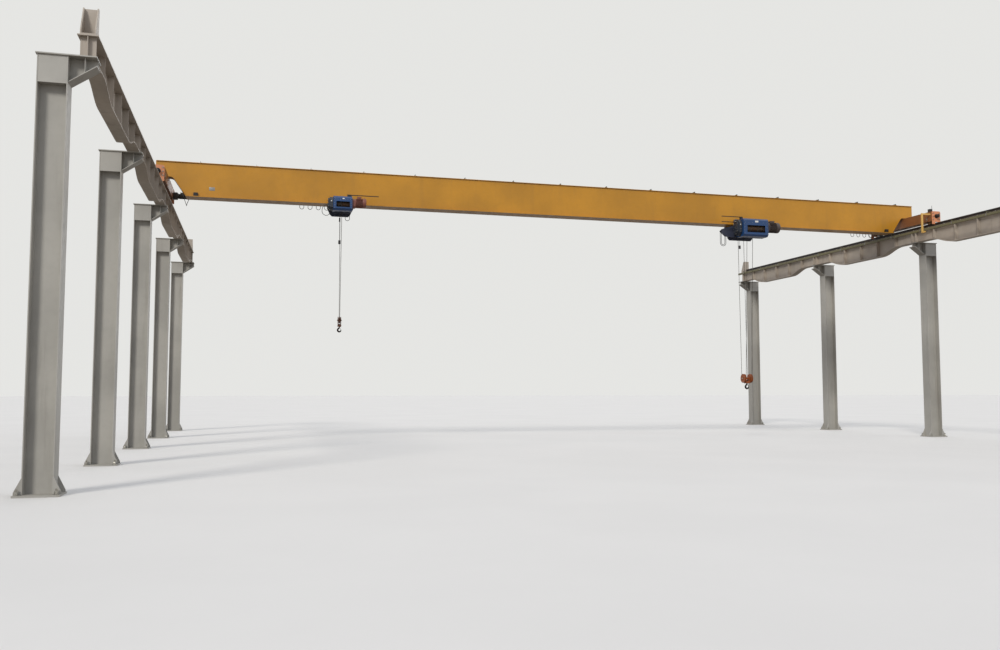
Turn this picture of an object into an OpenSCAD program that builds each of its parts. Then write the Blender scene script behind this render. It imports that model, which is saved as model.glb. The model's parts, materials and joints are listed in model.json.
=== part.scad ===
/* [Runway] */
// Distance between the two rail centres
span = 25500; // [22500:500:31500]
// Distance between two columns along the runway
bay = 6000; // [5000:100:8000]
// Number of bays of runway
bays = 4; // [2:2:6]
// Height of the rail head above the floor
rail_top = 7450; // [6500:50:9000]
// Gap between the ends of two runway beams
beam_gap = 10; // [5:1:30]
// Length of runway kept by each end stop
stop_l = 280; // [200:10:500]

/* [Rail] */
// Height of the rail
rail_h = 134; // [110:2:170]
// Width of the rail foot
rail_base_w = 114; // [100:2:150]
// Width of the rail head
rail_head_w = 68; // [50:1:100]
// Height of the rail head
rail_head_h = 36; // [26:1:46]
// Thickness of the rail web
rail_web_t = 14; // [10:1:24]
// Thickness of the rail foot at its edge
rail_toe_t = 10; // [8:1:16]

/* [Runway beam] */
// Width of the top flange
beam_top_w = 320; // [260:10:400]
// Thickness of the top flange
beam_top_t = 18; // [12:1:30]
// Width of the bottom flange
beam_bottom_w = 260; // [220:10:320]
// Thickness of the bottom flange
beam_bottom_t = 14; // [10:1:25]
// Thickness of the web
beam_web_t = 10; // [8:1:16]
// Depth of the beam over a column
beam_end_d = 420; // [360:10:520]
// Depth of the beam in the middle of a bay
beam_mid_d = 650; // [540:10:800]
// Length of the shallow end
belly_flat = 850; // [600:10:1100]
// Length of the curved change of depth
belly_run = 1050; // [500:10:1200]
// Distance between two web stiffeners
stiffener_pitch = 1000; // [600:50:1500]
// Thickness of a web stiffener
stiffener_t = 8; // [6:1:12]

/* [Column] */
// Distance from the rail centre to the column
column_offset = 240; // [180:10:300]
// Depth of the column across the hall
column_d = 450; // [380:10:700]
// Width of the column along the hall
column_w = 350; // [300:10:450]
// Thickness of the column flanges
column_flange_t = 16; // [12:1:25]
// Thickness of the column web
column_web_t = 10; // [8:1:16]
// Height of the boxed head of the column
head_h = 450; // [430:10:600]
// Thickness of the cap plate
cap_t = 20; // [14:1:30]
// Width of the cap plate past the column
cap_over = 25; // [10:5:50]
// Length of the corbel past the beam's bottom flange
corbel_edge = 50; // [20:5:120]
// Height of the corbel at the column
corbel_h = 420; // [300:10:420]
// Height of the corbel at its tip
corbel_tip_h = 130; // [80:10:250]
// Thickness of the base plate
base_t = 30; // [20:1:50]
// Width of the base plate past the column
base_over = 110; // [90:5:160]
// Diameter of the anchor bolt holes
anchor_d = 36; // [20:1:50]
// Distance from a hole centre to the plate edge
anchor_edge = 55; // [50:1:75]
// Height of the base gussets
gusset_h = 260; // [150:10:400]
// Thickness of the base gussets
gusset_t = 14; // [8:1:20]

/* [Power line] */
// Distance from the rail centre to the conductor line
power_in = 430; // [400:5:500]
// Width of the conductor housing
power_w = 56; // [40:2:80]
// Height of the conductor housing
power_h = 78; // [50:2:110]
// Wall of the conductor housing
power_wall = 5; // [3:1:8]
// Width of the slot under the housing
power_slot = 22; // [12:1:26]
// Distance between two hangers
hanger_pitch = 1500; // [1000:100:2000]

/* [Bridge] */
// Place of the bridge along the runway
bridge_y = 600; // [-2000:50:2000]
// Depth of the girder
girder_d = 1030; // [900:10:1200]
// Distance between the outer faces of the webs
girder_w = 330; // [280:5:380]
// Thickness of the webs
web_t = 8; // [6:1:12]
// Width of the top flange
top_w = 400; // [400:10:460]
// Thickness of the top flange
top_t = 14; // [8:1:20]
// Width of the bottom flange that carries the trolleys
track_w = 520; // [500:5:560]
// Thickness of the bottom flange
track_t = 20; // [14:1:28]
// Girder length past the rail centre
girder_over = 200; // [150:5:215]
// Length of the level notch at each girder end
notch_l = 470; // [430:5:560]
// Height of the notch above the girder's underside
notch_h = 590; // [500:10:700]
// Length of the slanted stretch at each girder end
slant_l = 390; // [250:10:500]
// Radius of the notch corner
notch_r = 150; // [60:10:220]
// Thickness of the plate that closes the notch
notch_t = 18; // [12:1:25]
// Thickness of the seat between girder and end truck
seat_t = 12; // [8:1:20]
// Distance between two diaphragms in the girder
diaphragm_pitch = 1500; // [1000:100:2500]

/* [End truck] */
// Length of the end truck
truck_l = 3240; // [2900:20:3600]
// Distance from each axle to the truck's end
axle_in = 270; // [220:10:400]
// Width of the end truck
truck_w = 300; // [280:5:340]
// Height of the end truck
truck_h = 340; // [320:5:400]
// Space between the rail head and the end truck
truck_clear = 60; // [40:5:90]
// Thickness of the side plates
truck_wall = 10; // [8:1:14]
// Radius of the wheel tread
wheel_r = 150; // [130:5:170]
// Height of the wheel flanges
flange_h = 18; // [14:1:24]
// Thickness of a wheel flange
flange_t = 18; // [14:1:24]
// Space between the rail head and a wheel flange
rail_play = 6; // [5:0.5:10]
// Diameter of the axle
axle_d = 65; // [50:1:80]
// Diameter of the bearing cover
bearing_d = 170; // [140:5:190]
// Thickness of the bearing cover
bearing_t = 18; // [12:1:30]
// Thickness of the end plate
end_plate_t = 14; // [10:1:20]
// Depth of the rail guards below the rail head
guard_drop = 50; // [20:2:70]
// Diameter of the buffer
buffer_d = 120; // [80:5:160]
// Length of the buffer
buffer_l = 130; // [80:5:180]

/* [Small hoist] */
// Place of the small hook along the girder
small_x = -7600; // [-7800:20:-6500]
// Height of the small hook's sheave above the floor
small_sheave_z = 3760; // [3000:20:4200]
// Length of the drum housing
small_housing_l = 560; // [520:10:700]
// Height of the drum housing
small_housing_h = 430; // [400:5:450]
// Length of the gear case
small_gear_l = 140; // [120:5:200]
// Distance between the axles of the trolley
small_base = 580; // [540:10:700]
// Depth of the trolley frame under the girder
small_frame_drop = 290; // [270:5:320]
// Depth of the limit weight under the girder
small_weight_drop = 1235; // [900:5:1400]
// Depth of the upper limit weight under the girder
small_upper_drop = 550; // [500:5:700]
// Radius of the rope drum
small_drum_r = 120; // [100:5:130]
// Radius of the hoist motor
small_motor_r = 145; // [110:5:160]
// Length of the hoist motor
small_motor_l = 330; // [260:10:380]
// Radius of the hook's sheave
small_sheave_r = 105; // [100:5:130]
// Thickness of the hook's shank
small_shank = 40; // [36:1:52]

/* [Big hoist] */
// Place of the big hook along the girder
big_x = 6220; // [5600:20:6500]
// Height of the big hook's sheaves above the floor
big_sheave_z = 2040; // [1800:20:3500]
// Length of the drum housing
big_housing_l = 930; // [860:10:1100]
// Height of the drum housing
big_housing_h = 600; // [560:5:620]
// Length of the gear case
big_gear_l = 170; // [140:5:240]
// Distance between the axles of the trolley
big_base = 900; // [860:20:1000]
// Depth of the trolley frame under the girder
big_frame_drop = 450; // [400:5:480]
// Reach of the cable bracket past the trolley frame
bracket_l = 545; // [450:5:600]
// Depth of the limit weight under the girder
big_weight_drop = 835; // [700:5:1000]
// Radius of the rope drum
big_drum_r = 160; // [140:5:175]
// Radius of the hoist motor
big_motor_r = 180; // [150:5:200]
// Length of the hoist motor
big_motor_l = 430; // [350:10:480]
// Radius of the hook's sheaves
big_sheave_r = 150; // [135:5:160]
// Thickness of the hook's shank
big_shank = 48; // [42:1:60]

/* [Trolleys] */
// Radius of the trolley wheel tread
trolley_wheel_r = 80; // [65:5:95]
// Width of the trolley wheel tread
trolley_tread_w = 46; // [36:2:50]
// Radius of the wheel's guide flange past the tread
guide_h = 14; // [10:1:20]
// Space between the track edge and the guide flange
track_play = 6; // [5:0.5:8]
// Thickness of the trolley side plates
cheek_t = 16; // [12:1:20]
// Length of the bearing case between drum and motor
bearing_l = 100; // [80:5:140]
// Height of the motor's axis above the drum's axis
motor_up = 60; // [30:5:80]
// Height of the striker bar above the drum housing
bar_up = 75; // [50:5:90]
// Reach of a striker bar past its hoist
bar_reach = 680; // [500:10:750]
// Diameter of the hoisting rope
rope_d = 15; // [11:1:20]

/* [Festoon] */
// Distance from the girder's middle to the cable track
festoon_out = 960; // [930:10:1100]
// Side of the square cable track
festoon_rail = 40; // [30:2:60]
// Side of the arms on the girder
festoon_arm = 50; // [40:2:70]
// Distance between two arms
festoon_pitch = 1600; // [1200:50:2000]
// Distance by which the row of arms is set towards the big hoist
festoon_shift = 300; // [0:50:300]
// Diameter of the festoon cable
cable_d = 16; // [12:1:20]
// Length of cable in one loop
loop_length = 1950; // [1850:10:2200]
// Width of the widest loop
loop_max = 1700; // [1500:50:1750]
// Number of narrow loops in the bunch at one end
bunch_n = 4; // [2:1:5]
// Distance from the girder's left end to the cable's fixed end
small_cable_in = 850; // [810:10:1000]
// Distance from the girder's right end to the cable's fixed end
big_cable_in = 800; // [790:10:1000]

/* [Hidden] */
// Running gap between curved faces of two moving pieces
fit = 0.3;
$fn = 48;

rail_x = span / 2;
runway_l = bays * bay;
beam_top = rail_top - rail_h;
seat_z = beam_top - beam_end_d;
truck_z = rail_top + truck_clear;
truck_top = truck_z + truck_h;
notch_z = truck_top + seat_t + notch_t;
girder_z = notch_z - notch_h;
girder_top = girder_z + girder_d;
girder_half = rail_x + girder_over;
notch_x = girder_half - notch_l;
slant_x = notch_x - slant_l;
track_top = girder_z + track_t;
axle_z = rail_top + wheel_r + fit;
tread_w = rail_head_w + 2 * rail_play;

cheek_in = track_w / 2 + track_play + guide_t() + 10;
cheek_out = cheek_in + cheek_t;
trolley_axle_z = track_top + trolley_wheel_r + fit;

function guide_t() = 12;
function ease(t) = (1 - cos(180 * t)) / 2;
function mirrored(points) =
    concat(points, [for (i = [len(points) - 1:-1:0]) [-points[i].x, points[i].y]]);

// Depth of the runway beam at a distance s from its end
function belly(s, l) =
    let (u = min(s, l - s), t = min(max((u - belly_flat) / belly_run, 0), 1))
    beam_end_d + (beam_mid_d - beam_end_d) * ease(t);

belly_steps = 8;
function belly_line(l, lift) = concat(
    [[0, lift - beam_end_d]],
    [for (i = [0:belly_steps]) let (s = belly_flat + belly_run * i / belly_steps)
        [s, lift - belly(s, l)]],
    [for (i = [belly_steps:-1:0]) let (s = l - belly_flat - belly_run * i / belly_steps)
        [s, lift - belly(s, l)]],
    [[l, lift - beam_end_d]]);
function backwards(points) = [for (i = [len(points) - 1:-1:0]) points[i]];

module along_y(h) {
    rotate([90, 0, 90]) linear_extrude(height = h, center = true) children();
}

module across_x(h) {
    rotate([90, 0, 0]) linear_extrude(height = h, center = true) children();
}

// One fish-bellied beam with its end at the origin and its top at z = 0
module runway_beam() {
    l = bay - beam_gap;
    count = floor((l - stiffener_pitch / 2) / stiffener_pitch);
    first = (l - (count - 1) * stiffener_pitch) / 2;
    places = concat([stiffener_pitch / 12], [for (i = [0:count - 1]) first + i * stiffener_pitch],
                    [l - stiffener_pitch / 12]);
    translate([-beam_top_w / 2, 0, -beam_top_t]) cube([beam_top_w, l, beam_top_t]);
    along_y(beam_web_t)
        polygon(concat([[l, -beam_top_t], [0, -beam_top_t]], belly_line(l, beam_bottom_t)));
    along_y(beam_bottom_w)
        polygon(concat(belly_line(l, 0), backwards(belly_line(l, beam_bottom_t))));
    for (s = places) {
        d = belly(s, l) - beam_bottom_t / 2;
        translate([-beam_bottom_w / 2 + stiffener_t, s - stiffener_t / 2, -d])
            cube([beam_bottom_w - 2 * stiffener_t, stiffener_t, d - beam_top_t / 2]);
    }
}

module runway_beams(side) {
    for (i = [0:bays - 1])
        translate([side * rail_x, -runway_l / 2 + i * bay + beam_gap / 2, beam_top]) runway_beam();
}

module left_runway_beams() { color([0.72, 0.70, 0.64]) runway_beams(-1); }
module right_runway_beams() { color([0.72, 0.70, 0.64]) runway_beams(1); }

module rail(side) {
    l = runway_l - beam_gap - 2 * stop_l;
    half = [[rail_base_w / 2, 0], [rail_base_w / 2, rail_toe_t],
            [rail_web_t / 2 + rail_toe_t, 2.4 * rail_toe_t], [rail_web_t / 2, 4 * rail_toe_t],
            [rail_web_t / 2, rail_h - rail_head_h - rail_toe_t],
            [rail_head_w / 2, rail_h - rail_head_h],
            [rail_head_w / 2, rail_h - rail_toe_t / 2], [rail_head_w / 2 - rail_toe_t / 2, rail_h]];
    translate([side * rail_x, 0, beam_top]) across_x(l) polygon(mirrored(half));
}

module left_rail() { color([0.36, 0.33, 0.31]) rail(-1); }
module right_rail() { color([0.36, 0.33, 0.31]) rail(1); }

stop_face_t = 20;
stop_w = 240;
stop_top = truck_z + truck_h - 20;

// An end stop whose face looks along -Y, with its back at y = 0
module end_stop() {
    h = stop_top - beam_top;
    translate([-stop_w / 2, -stop_l, 0]) cube([stop_w, stop_face_t, h]);
    translate([-stop_w / 2, -stop_l, 0]) cube([stop_w, stop_l, stop_face_t]);
    for (x = [-stop_w / 2, stop_w / 2 - stop_face_t])
        translate([x + stop_face_t / 2, -stop_l + stop_face_t, stop_face_t])
            along_y(stop_face_t)
                polygon([[-1, -1], [stop_l - stop_face_t, -1], [stop_l - stop_face_t, 60],
                         [60, h - stop_face_t], [-1, h - stop_face_t]]);
}

module runway_end_stops() {
    color([0.72, 0.70, 0.64])
        for (side = [-1, 1], end = [0, 180])
            translate([side * rail_x, 0, beam_top]) rotate([0, 0, end])
                translate([0, (runway_l - beam_gap) / 2, 0]) end_stop();
}

// One column with its inner flange at x = 0, the corbel towards -X
module column() {
    plate_l = column_d + 2 * base_over;
    plate_w = column_w + 2 * base_over;
    shaft = seat_z - cap_t;
    difference() {
        union() {
            translate([-base_over, -plate_w / 2, 0]) cube([plate_l, plate_w, base_t]);
            for (x = [0, column_d - column_flange_t])
                translate([x, -column_w / 2, base_t / 2])
                    cube([column_flange_t, column_w, shaft - base_t / 2]);
            translate([column_flange_t / 2, -column_web_t / 2, base_t / 2])
                cube([column_d - column_flange_t, column_web_t, shaft - base_t / 2]);
            head_box(shaft);
            for (y = [-1, 1]) translate([0, y * (column_w / 2 - gusset_t / 2), 0])
                base_gussets();
            translate([-corbel_l, -column_w / 2 - cap_over, shaft])
                cube([corbel_l + column_d + cap_over, column_w + 2 * cap_over, cap_t]);
            corbel(shaft);
        }
        for (x = [anchor_edge - base_over, column_d + base_over - anchor_edge],
             y = [-1, 1] * (plate_w / 2 - anchor_edge))
            translate([x, y, -1]) cylinder(d = anchor_d, h = base_t + 2);
    }
}

module base_gussets() {
    for (x = [[-base_over, 0], [column_d + base_over, column_d]])
        across_x(gusset_t)
            polygon([[x[0], base_t - 1], [x[0], base_t + 40], [x[1], base_t + gusset_h],
                     [x[1] + (x[1] > x[0] ? 1 : -1), base_t + gusset_h],
                     [x[1] + (x[1] > x[0] ? 1 : -1), base_t - 1]]);
}

module head_box(shaft) {
    for (y = [-1, 1])
        translate([column_flange_t / 2, y * (column_w / 2 - stiffener_t) - stiffener_t / 2,
                   shaft - head_h])
            cube([column_d - column_flange_t, stiffener_t, head_h]);
    translate([0, -column_w / 2, shaft - head_h])
        cube([column_d, column_w, stiffener_t]);
}

corbel_l = column_offset + beam_bottom_w / 2 + corbel_edge;

// Tapered bracket with a stiffener right under the rail
module corbel(shaft) {
    lower = [[1, shaft - corbel_h], [-corbel_l, shaft - corbel_tip_h]];
    depth = corbel_h + (corbel_tip_h - corbel_h) * column_offset / corbel_l - column_flange_t / 2;
    across_x(column_web_t)
        polygon([[1, shaft + 1], [-corbel_l, shaft + 1], lower[1], lower[0]]);
    across_x(column_w - 2 * cap_over)
        polygon([lower[0], lower[1], lower[1] + [0, column_flange_t],
                 lower[0] + [0, column_flange_t]]);
    translate([-column_offset - stiffener_t / 2, -column_w / 2 + cap_over, shaft - depth])
        cube([stiffener_t, column_w - 2 * cap_over, depth + 1]);
}

module columns(side) {
    for (i = [0:bays])
        translate([side * (rail_x + column_offset), -runway_l / 2 + i * bay, 0])
            mirror([side < 0 ? 1 : 0, 0, 0]) column();
}

module left_columns() { color([0.78, 0.77, 0.72]) columns(-1); }
module right_columns() { color([0.78, 0.77, 0.72]) columns(1); }

power_x = rail_x - power_in;
power_z = beam_top - beam_top_t - 60 - power_h;

module conductor_line() {
    l = runway_l - 2 * stop_l - 2 * beam_gap;
    arms = floor((l - beam_gap) / hanger_pitch);
    color([0.50, 0.47, 0.22]) {
        translate([power_x, 0, power_z]) across_x(l) difference() {
            translate([-power_w / 2, 0]) square([power_w, power_h]);
            translate([power_wall - power_w / 2, power_wall])
                square([power_w - 2 * power_wall, power_h - 2 * power_wall]);
            translate([-power_slot / 2, -1]) square([power_slot, power_wall + 2]);
        }
        for (i = [0:arms]) translate([0, (i - arms / 2) * hanger_pitch, 0]) power_hanger();
    }
}

hanger_t = 8;
hanger_w = 40;

// A hanger under the beam's top flange that carries the housing by its top
module power_hanger() {
    top = beam_top - beam_top_t;
    in = power_x - power_w / 2;
    out = rail_x - beam_bottom_w / 2 - 5;
    translate([in, -hanger_w / 2, top - hanger_t]) cube([out - in, hanger_w, hanger_t]);
    translate([power_x - hanger_t / 2, -hanger_w / 2, power_z + power_h - 1])
        cube([hanger_t, hanger_w, top - power_z - power_h]);
    translate([in, -hanger_w / 2, power_z + power_h - 1]) cube([power_w, hanger_w, hanger_t]);
}

// Rounded notch and slant of the girder's end, kept at a distance t below the webs
slant_a = atan2(notch_h - track_t, slant_l);
corner_steps = 8;
function notch_line(t) =
    let (cx = notch_x + notch_r * tan(slant_a / 2), cz = notch_z - notch_r,
         dir = [cos(slant_a), sin(slant_a)], n = [sin(slant_a), -cos(slant_a)],
         foot = [slant_x, track_top] + t * n, drop = (foot.y - track_top) / dir.y)
    concat([[girder_half, notch_z - t]],
           [for (i = [0:corner_steps]) let (a = 90 + slant_a * i / corner_steps)
               [cx + (notch_r - t) * cos(a), cz + (notch_r - t) * sin(a)]],
           [foot - drop * dir]);

module girder_web(y) {
    right = notch_line(0);
    outline = concat(right, [for (i = [len(right) - 1:-1:0]) [-right[i].x, right[i].y]],
                     [[-girder_half, girder_top - top_t], [girder_half, girder_top - top_t]]);
    color([0.80, 0.56, 0.12])
        translate([0, bridge_y + y, 0]) across_x(web_t) polygon(outline);
}

module girder_near_web() { girder_web(-girder_w / 2 + web_t / 2); }
module girder_far_web() { girder_web(girder_w / 2 - web_t / 2); }

module girder_top_flange() {
    color([0.80, 0.56, 0.12])
        translate([-girder_half, bridge_y - top_w / 2, girder_top - top_t])
            cube([2 * girder_half, top_w, top_t]);
}

module girder_bottom_flange() {
    half = slant_x + notch_t / sin(slant_a);
    color([0.72, 0.48, 0.12])
        translate([-half, bridge_y - track_w / 2, girder_z]) cube([2 * half, track_w, track_t]);
}

module girder_diaphragms() {
    reach = slant_x - 200;
    count = ceil(2 * reach / diaphragm_pitch);
    color([0.45, 0.30, 0.22])
        for (i = [0:count])
            translate([-reach + i * 2 * reach / count - web_t / 2,
                       bridge_y - girder_w / 2 + web_t, track_top])
                cube([web_t, girder_w - 2 * web_t, girder_top - top_t - track_top]);
}

module girder_end_closures() {
    inner = notch_line(0);
    outer = notch_line(notch_t);
    band = concat(outer, backwards(inner));
    color([0.80, 0.56, 0.12])
        for (side = [0, 1]) mirror([side, 0, 0]) translate([0, bridge_y, 0]) {
            across_x(girder_w + 20) polygon(band);
            translate([girder_half, -girder_w / 2, notch_z - notch_t])
                cube([web_t, girder_w, girder_top - top_t - notch_z + notch_t]);
        }
}

module girder_seats() {
    color([0.80, 0.56, 0.12])
        for (side = [-1, 1])
            translate([side * rail_x - truck_w / 2 + 10, bridge_y - girder_w / 2, truck_top])
                cube([truck_w - 20, girder_w, seat_t]);
}

stop_in = 250;

// Stops for the trolleys, bolted to both sides of the track near its ends
module hoist_stops() {
    color([0.15, 0.15, 0.16])
        for (x = [-1, 1] * (slant_x - stop_in), y = [-1, 1])
            translate([x - 60, bridge_y + y * (girder_w / 2 + 30) - 30, track_top])
                cube([120, 60, 110]);
}

wheelbase = truck_l - 2 * axle_in;
pocket_l = 2 * (wheel_r + flange_h) + 60;
slot_d = 110;
slot_l = 260;

// End truck: a box of plates, open under the wheels, with slots in its bottom plate
module end_truck(side) {
    inner = wheelbase - pocket_l;
    w = truck_w / 2 - truck_wall;
    translate([side * rail_x, bridge_y, truck_z]) difference() {
        union() {
            for (x = [-1, 1]) translate([x * (w + truck_wall / 2), 0, truck_h / 2])
                cube([truck_wall, truck_l, truck_h], center = true);
            translate([0, 0, truck_h - truck_wall / 2])
                cube([truck_w, truck_l, truck_wall], center = true);
            translate([0, 0, truck_wall / 2]) cube([truck_w, inner, truck_wall], center = true);
            for (y = [-1, 1] * inner / 2) translate([0, y, truck_h / 2])
                cube([truck_w, truck_wall, truck_h], center = true);
            for (y = [-1, 1] * wheelbase / 2, x = [-1, 1])
                translate([x * (truck_w + bearing_t) / 2, y, axle_z - truck_z])
                    rotate([0, 90, 0]) cylinder(d = bearing_d, h = bearing_t, center = true);
        }
        for (y = [-1, 1] * wheelbase / 2) translate([0, y, axle_z - truck_z])
            rotate([0, 90, 0])
                cylinder(d = axle_d + 2 * fit, h = truck_w + 2 * bearing_t + 2, center = true);
        for (y = [-1, 0, 1] * inner / 3) translate([0, y, -1]) {
            translate([-slot_d / 2, -slot_l / 2 + slot_d / 2, 0])
                cube([slot_d, slot_l - slot_d, truck_wall + 2]);
            for (e = [-1, 1] * (slot_l - slot_d) / 2)
                translate([0, e, 0]) cylinder(d = slot_d, h = truck_wall + 2);
        }
    }
}

module left_end_truck() { color([0.72, 0.42, 0.18]) end_truck(-1); }
module right_end_truck() { color([0.72, 0.42, 0.18]) end_truck(1); }

plate_w = truck_w + 40;

// End plate whose two lower ears guard the rail head
module end_plate() {
    low = rail_top - guard_drop;
    gap = rail_head_w / 2 + 3 * rail_play;
    across_x(end_plate_t) polygon(mirrored([
        [gap, rail_top + truck_clear / 2], [gap, low], [plate_w / 2, low],
        [plate_w / 2, truck_top - 30], [plate_w / 2 - 30, truck_top]]));
}

module end_plates() {
    color([0.78, 0.38, 0.20])
        for (side = [-1, 1], end = [-1, 1])
            translate([side * rail_x, bridge_y + end * (truck_l + end_plate_t) / 2, 0]) end_plate();
}

buffer_z = truck_z + truck_h / 2;

module buffers() {
    color([0.10, 0.10, 0.10])
        for (side = [-1, 1], end = [0, 180])
            translate([side * rail_x, bridge_y, buffer_z]) rotate([0, 0, end])
                translate([0, truck_l / 2 + end_plate_t, 0]) rotate([-90, 0, 0]) rotate_extrude()
                    polygon([[0, 0], [buffer_d / 2 + 12, 0], [buffer_d / 2 + 12, 12],
                             [buffer_d / 2, 16], [buffer_d / 2, buffer_l - 30],
                             [buffer_d / 2 - 12, buffer_l - 8], [buffer_d / 4, buffer_l],
                             [0, buffer_l]]);
}

hub_half = truck_w / 2 - truck_wall - 6;

// Double-flanged wheel on its axle, turning about the X axis
module bridge_wheel(side, end) {
    tw = tread_w / 2;
    color([0.62, 0.62, 0.64])
        translate([side * rail_x, bridge_y + end * wheelbase / 2, axle_z]) rotate([0, 90, 0]) {
            rotate_extrude($fn = 64) polygon([
                [0, -hub_half], [axle_d * 0.8, -hub_half], [axle_d, -tw - flange_t],
                [wheel_r + flange_h - 4, -tw - flange_t], [wheel_r + flange_h, -tw - flange_t + 4],
                [wheel_r + flange_h, -tw - 5], [wheel_r, -tw], [wheel_r, tw],
                [wheel_r + flange_h, tw + 5], [wheel_r + flange_h, tw + flange_t - 4],
                [wheel_r + flange_h - 4, tw + flange_t], [axle_d, tw + flange_t],
                [axle_d * 0.8, hub_half], [0, hub_half]]);
            cylinder(d = axle_d, h = truck_w + 2 * bearing_t, center = true);
        }
}

module left_near_wheel() { bridge_wheel(-1, -1); }
module left_far_wheel() { bridge_wheel(-1, 1); }
module right_near_wheel() { bridge_wheel(1, -1); }
module right_far_wheel() { bridge_wheel(1, 1); }

drive_r = 85;
drive_case = 210;

// Gear case on the truck's inner side and a motor that reaches towards mid span
module drive(side) {
    color([0.16, 0.17, 0.19])
        translate([side * (rail_x - truck_w / 2 - bearing_t), bridge_y + wheelbase / 2, axle_z])
            rotate([0, -side * 90, 0]) {
                translate([0, 0, 60]) cube([drive_case, drive_case, 120], center = true);
                cylinder(r = drive_r + 10, h = 140);
                cylinder(r = drive_r, h = 400);
                translate([0, 0, 400]) cylinder(r1 = drive_r - 6, r2 = drive_r - 20, h = 50);
            }
}

module left_drive() { drive(-1); }
module right_drive() { drive(1); }

arm_s = 50;

// Angled arm that reaches down from the right end truck to the conductor line
module collector_arm() {
    y = bridge_y - truck_l / 2 + 110;
    reach = power_in + 80;
    top = truck_top - 120;
    shoe_top = power_z - 6;
    color([0.82, 0.66, 0.20]) {
        translate([rail_x - reach, y - arm_s / 2, top]) cube([reach - truck_w / 2, arm_s, arm_s]);
        translate([rail_x - reach, y - arm_s / 2, power_z - 60])
            cube([arm_s, arm_s, top - power_z + 61]);
        translate([rail_x - reach, y - arm_s / 2, power_z - 60]) cube([110, arm_s, 30]);
        translate([power_x - 20, y - 90, shoe_top - 55]) cube([40, 180, 55]);
    }
}

arm_count = floor(2 * (girder_half - 300) / festoon_pitch);
arm_z = girder_top;

module festoon_arms() {
    l = festoon_out + festoon_rail / 2 + top_w / 2 - 10;
    color([0.20, 0.20, 0.21])
        for (i = [0:arm_count])
            translate([(i - arm_count / 2) * festoon_pitch + festoon_shift - festoon_arm / 2,
                       bridge_y - top_w / 2 + 10, arm_z]) {
                cube([festoon_arm, l, 6]);
                cube([6, l, festoon_arm]);
            }
}

module festoon_track() {
    l = 2 * (girder_half - 500);
    slot = festoon_rail / 3;
    color([0.55, 0.56, 0.58])
        translate([0, bridge_y + festoon_out, arm_z - festoon_rail])
            rotate([90, 0, 90]) linear_extrude(height = l, center = true) difference() {
                translate([-festoon_rail / 2, 0]) square([festoon_rail, festoon_rail]);
                translate([3 - festoon_rail / 2, 3]) square([festoon_rail - 6, festoon_rail - 6]);
                translate([-slot / 2, -1]) square([slot, 5]);
            }
}

// Both hoists are built round the hook's place x with a set of sizes:
// [0] housing length, [1] housing height, [2] drum radius, [3] motor radius,
// [4] motor length, [5] sheave radius, [6] sheave count, [7] shank,
// [8] sheave height, [9] housing start, [10] drum above the girder's underside,
// [11] place of the limit weight, [12] gear case length, [13] distance of the axles,
// [14] depth of the frame, [15] side of the cable arm
small_set = [small_housing_l, small_housing_h, small_drum_r, small_motor_r, small_motor_l,
             small_sheave_r, 1, small_shank, small_sheave_z, -small_housing_l / 2, -55, -55,
             small_gear_l, small_base, small_frame_drop, -1];
big_set = [big_housing_l, big_housing_h, big_drum_r, big_motor_r, big_motor_l,
           big_sheave_r, 2, big_shank, big_sheave_z, -big_housing_l / 2 - 5, -165, -350,
           big_gear_l, big_base, big_frame_drop, 1];

housing_wall = 6;
anchor_y = cheek_in - 60;
anchor_z = girder_z - 190;
housing_in = cheek_out + 8;

function housing_w(s) = 2 * s[2] + 170;
function drum_y(s) = -(housing_in + housing_w(s) / 2);
function drum_z(s) = girder_z + s[10];
function housing_x(s) = s[9];
function gear_x(s) = s[9] - s[12];
function gear_w(s) = housing_w(s) * 0.32;
function gear_h(s) = s[1] * 0.45;
function frame_half(s) = s[13] / 2 + 110;
function frame_z(s) = girder_z - s[14];
function arm_x(s) = s[15] * s[0] * 0.42;
function fall_x(s, i) = s[6] == 1 ? 0 : (i == 0 ? -big_sheave_r * 0.72 : big_sheave_r * 0.72);

module at_hoist(x) { translate([x, bridge_y, 0]) children(); }

// Two cheeks that carry the wheels, tied together under the girder
module trolley_frame(s) {
    low = frame_z(s);
    up = trolley_axle_z + 55;
    half = frame_half(s);
    for (y = [-1, 1]) translate([0, y * (cheek_in + cheek_t / 2), 0]) across_x(cheek_t)
        polygon([[-half, girder_z - 40], [-half, up], [-half + 220, up],
                 [-half + 260, girder_z + 10], [half - 260, girder_z + 10], [half - 220, up],
                 [half, up], [half, girder_z - 40], [half - 90, low + 60], [half - 150, low],
                 [150 - half, low], [90 - half, low + 60]]);
    for (x = [-1, 1] * (s[13] / 2 - 60))
        translate([x - 35, -cheek_in - 1, girder_z - 130]) cube([70, 2 * cheek_in + 2, 70]);
    tie = 60 + fall_x(s, s[6] - 1);
    translate([-tie, -cheek_in - 1, girder_z - 130]) cube([2 * tie, 2 * cheek_in + 2, 50]);
    for (i = [0:s[6] - 1])
        translate([fall_x(s, i) - 30, anchor_y - 25, anchor_z]) cube([60, 50, 61]);
    for (x = [-1, 1] * s[13] / 2, y = [-1, 1])
        translate([x, y * (cheek_out + 1.5), trolley_axle_z]) rotate([90, 0, 0])
            cylinder(d = 60, h = 6, center = true);
}

bracket_tip = 265;

// Plate that reaches past the near cheek and carries the supply cables
module cable_bracket(s) {
    half = frame_half(s);
    low = frame_z(s);
    translate([0, -cheek_in - cheek_t / 2, 0]) across_x(cheek_t)
        polygon([[-half - bracket_l, girder_z - bracket_tip],
                 [90 - half - bracket_l, girder_z - bracket_tip + 85],
                 [-half, girder_z - 40], [150 - half, girder_z - 40], [150 - half, low],
                 [200 - half - bracket_l, low + 13]]);
}

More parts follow.
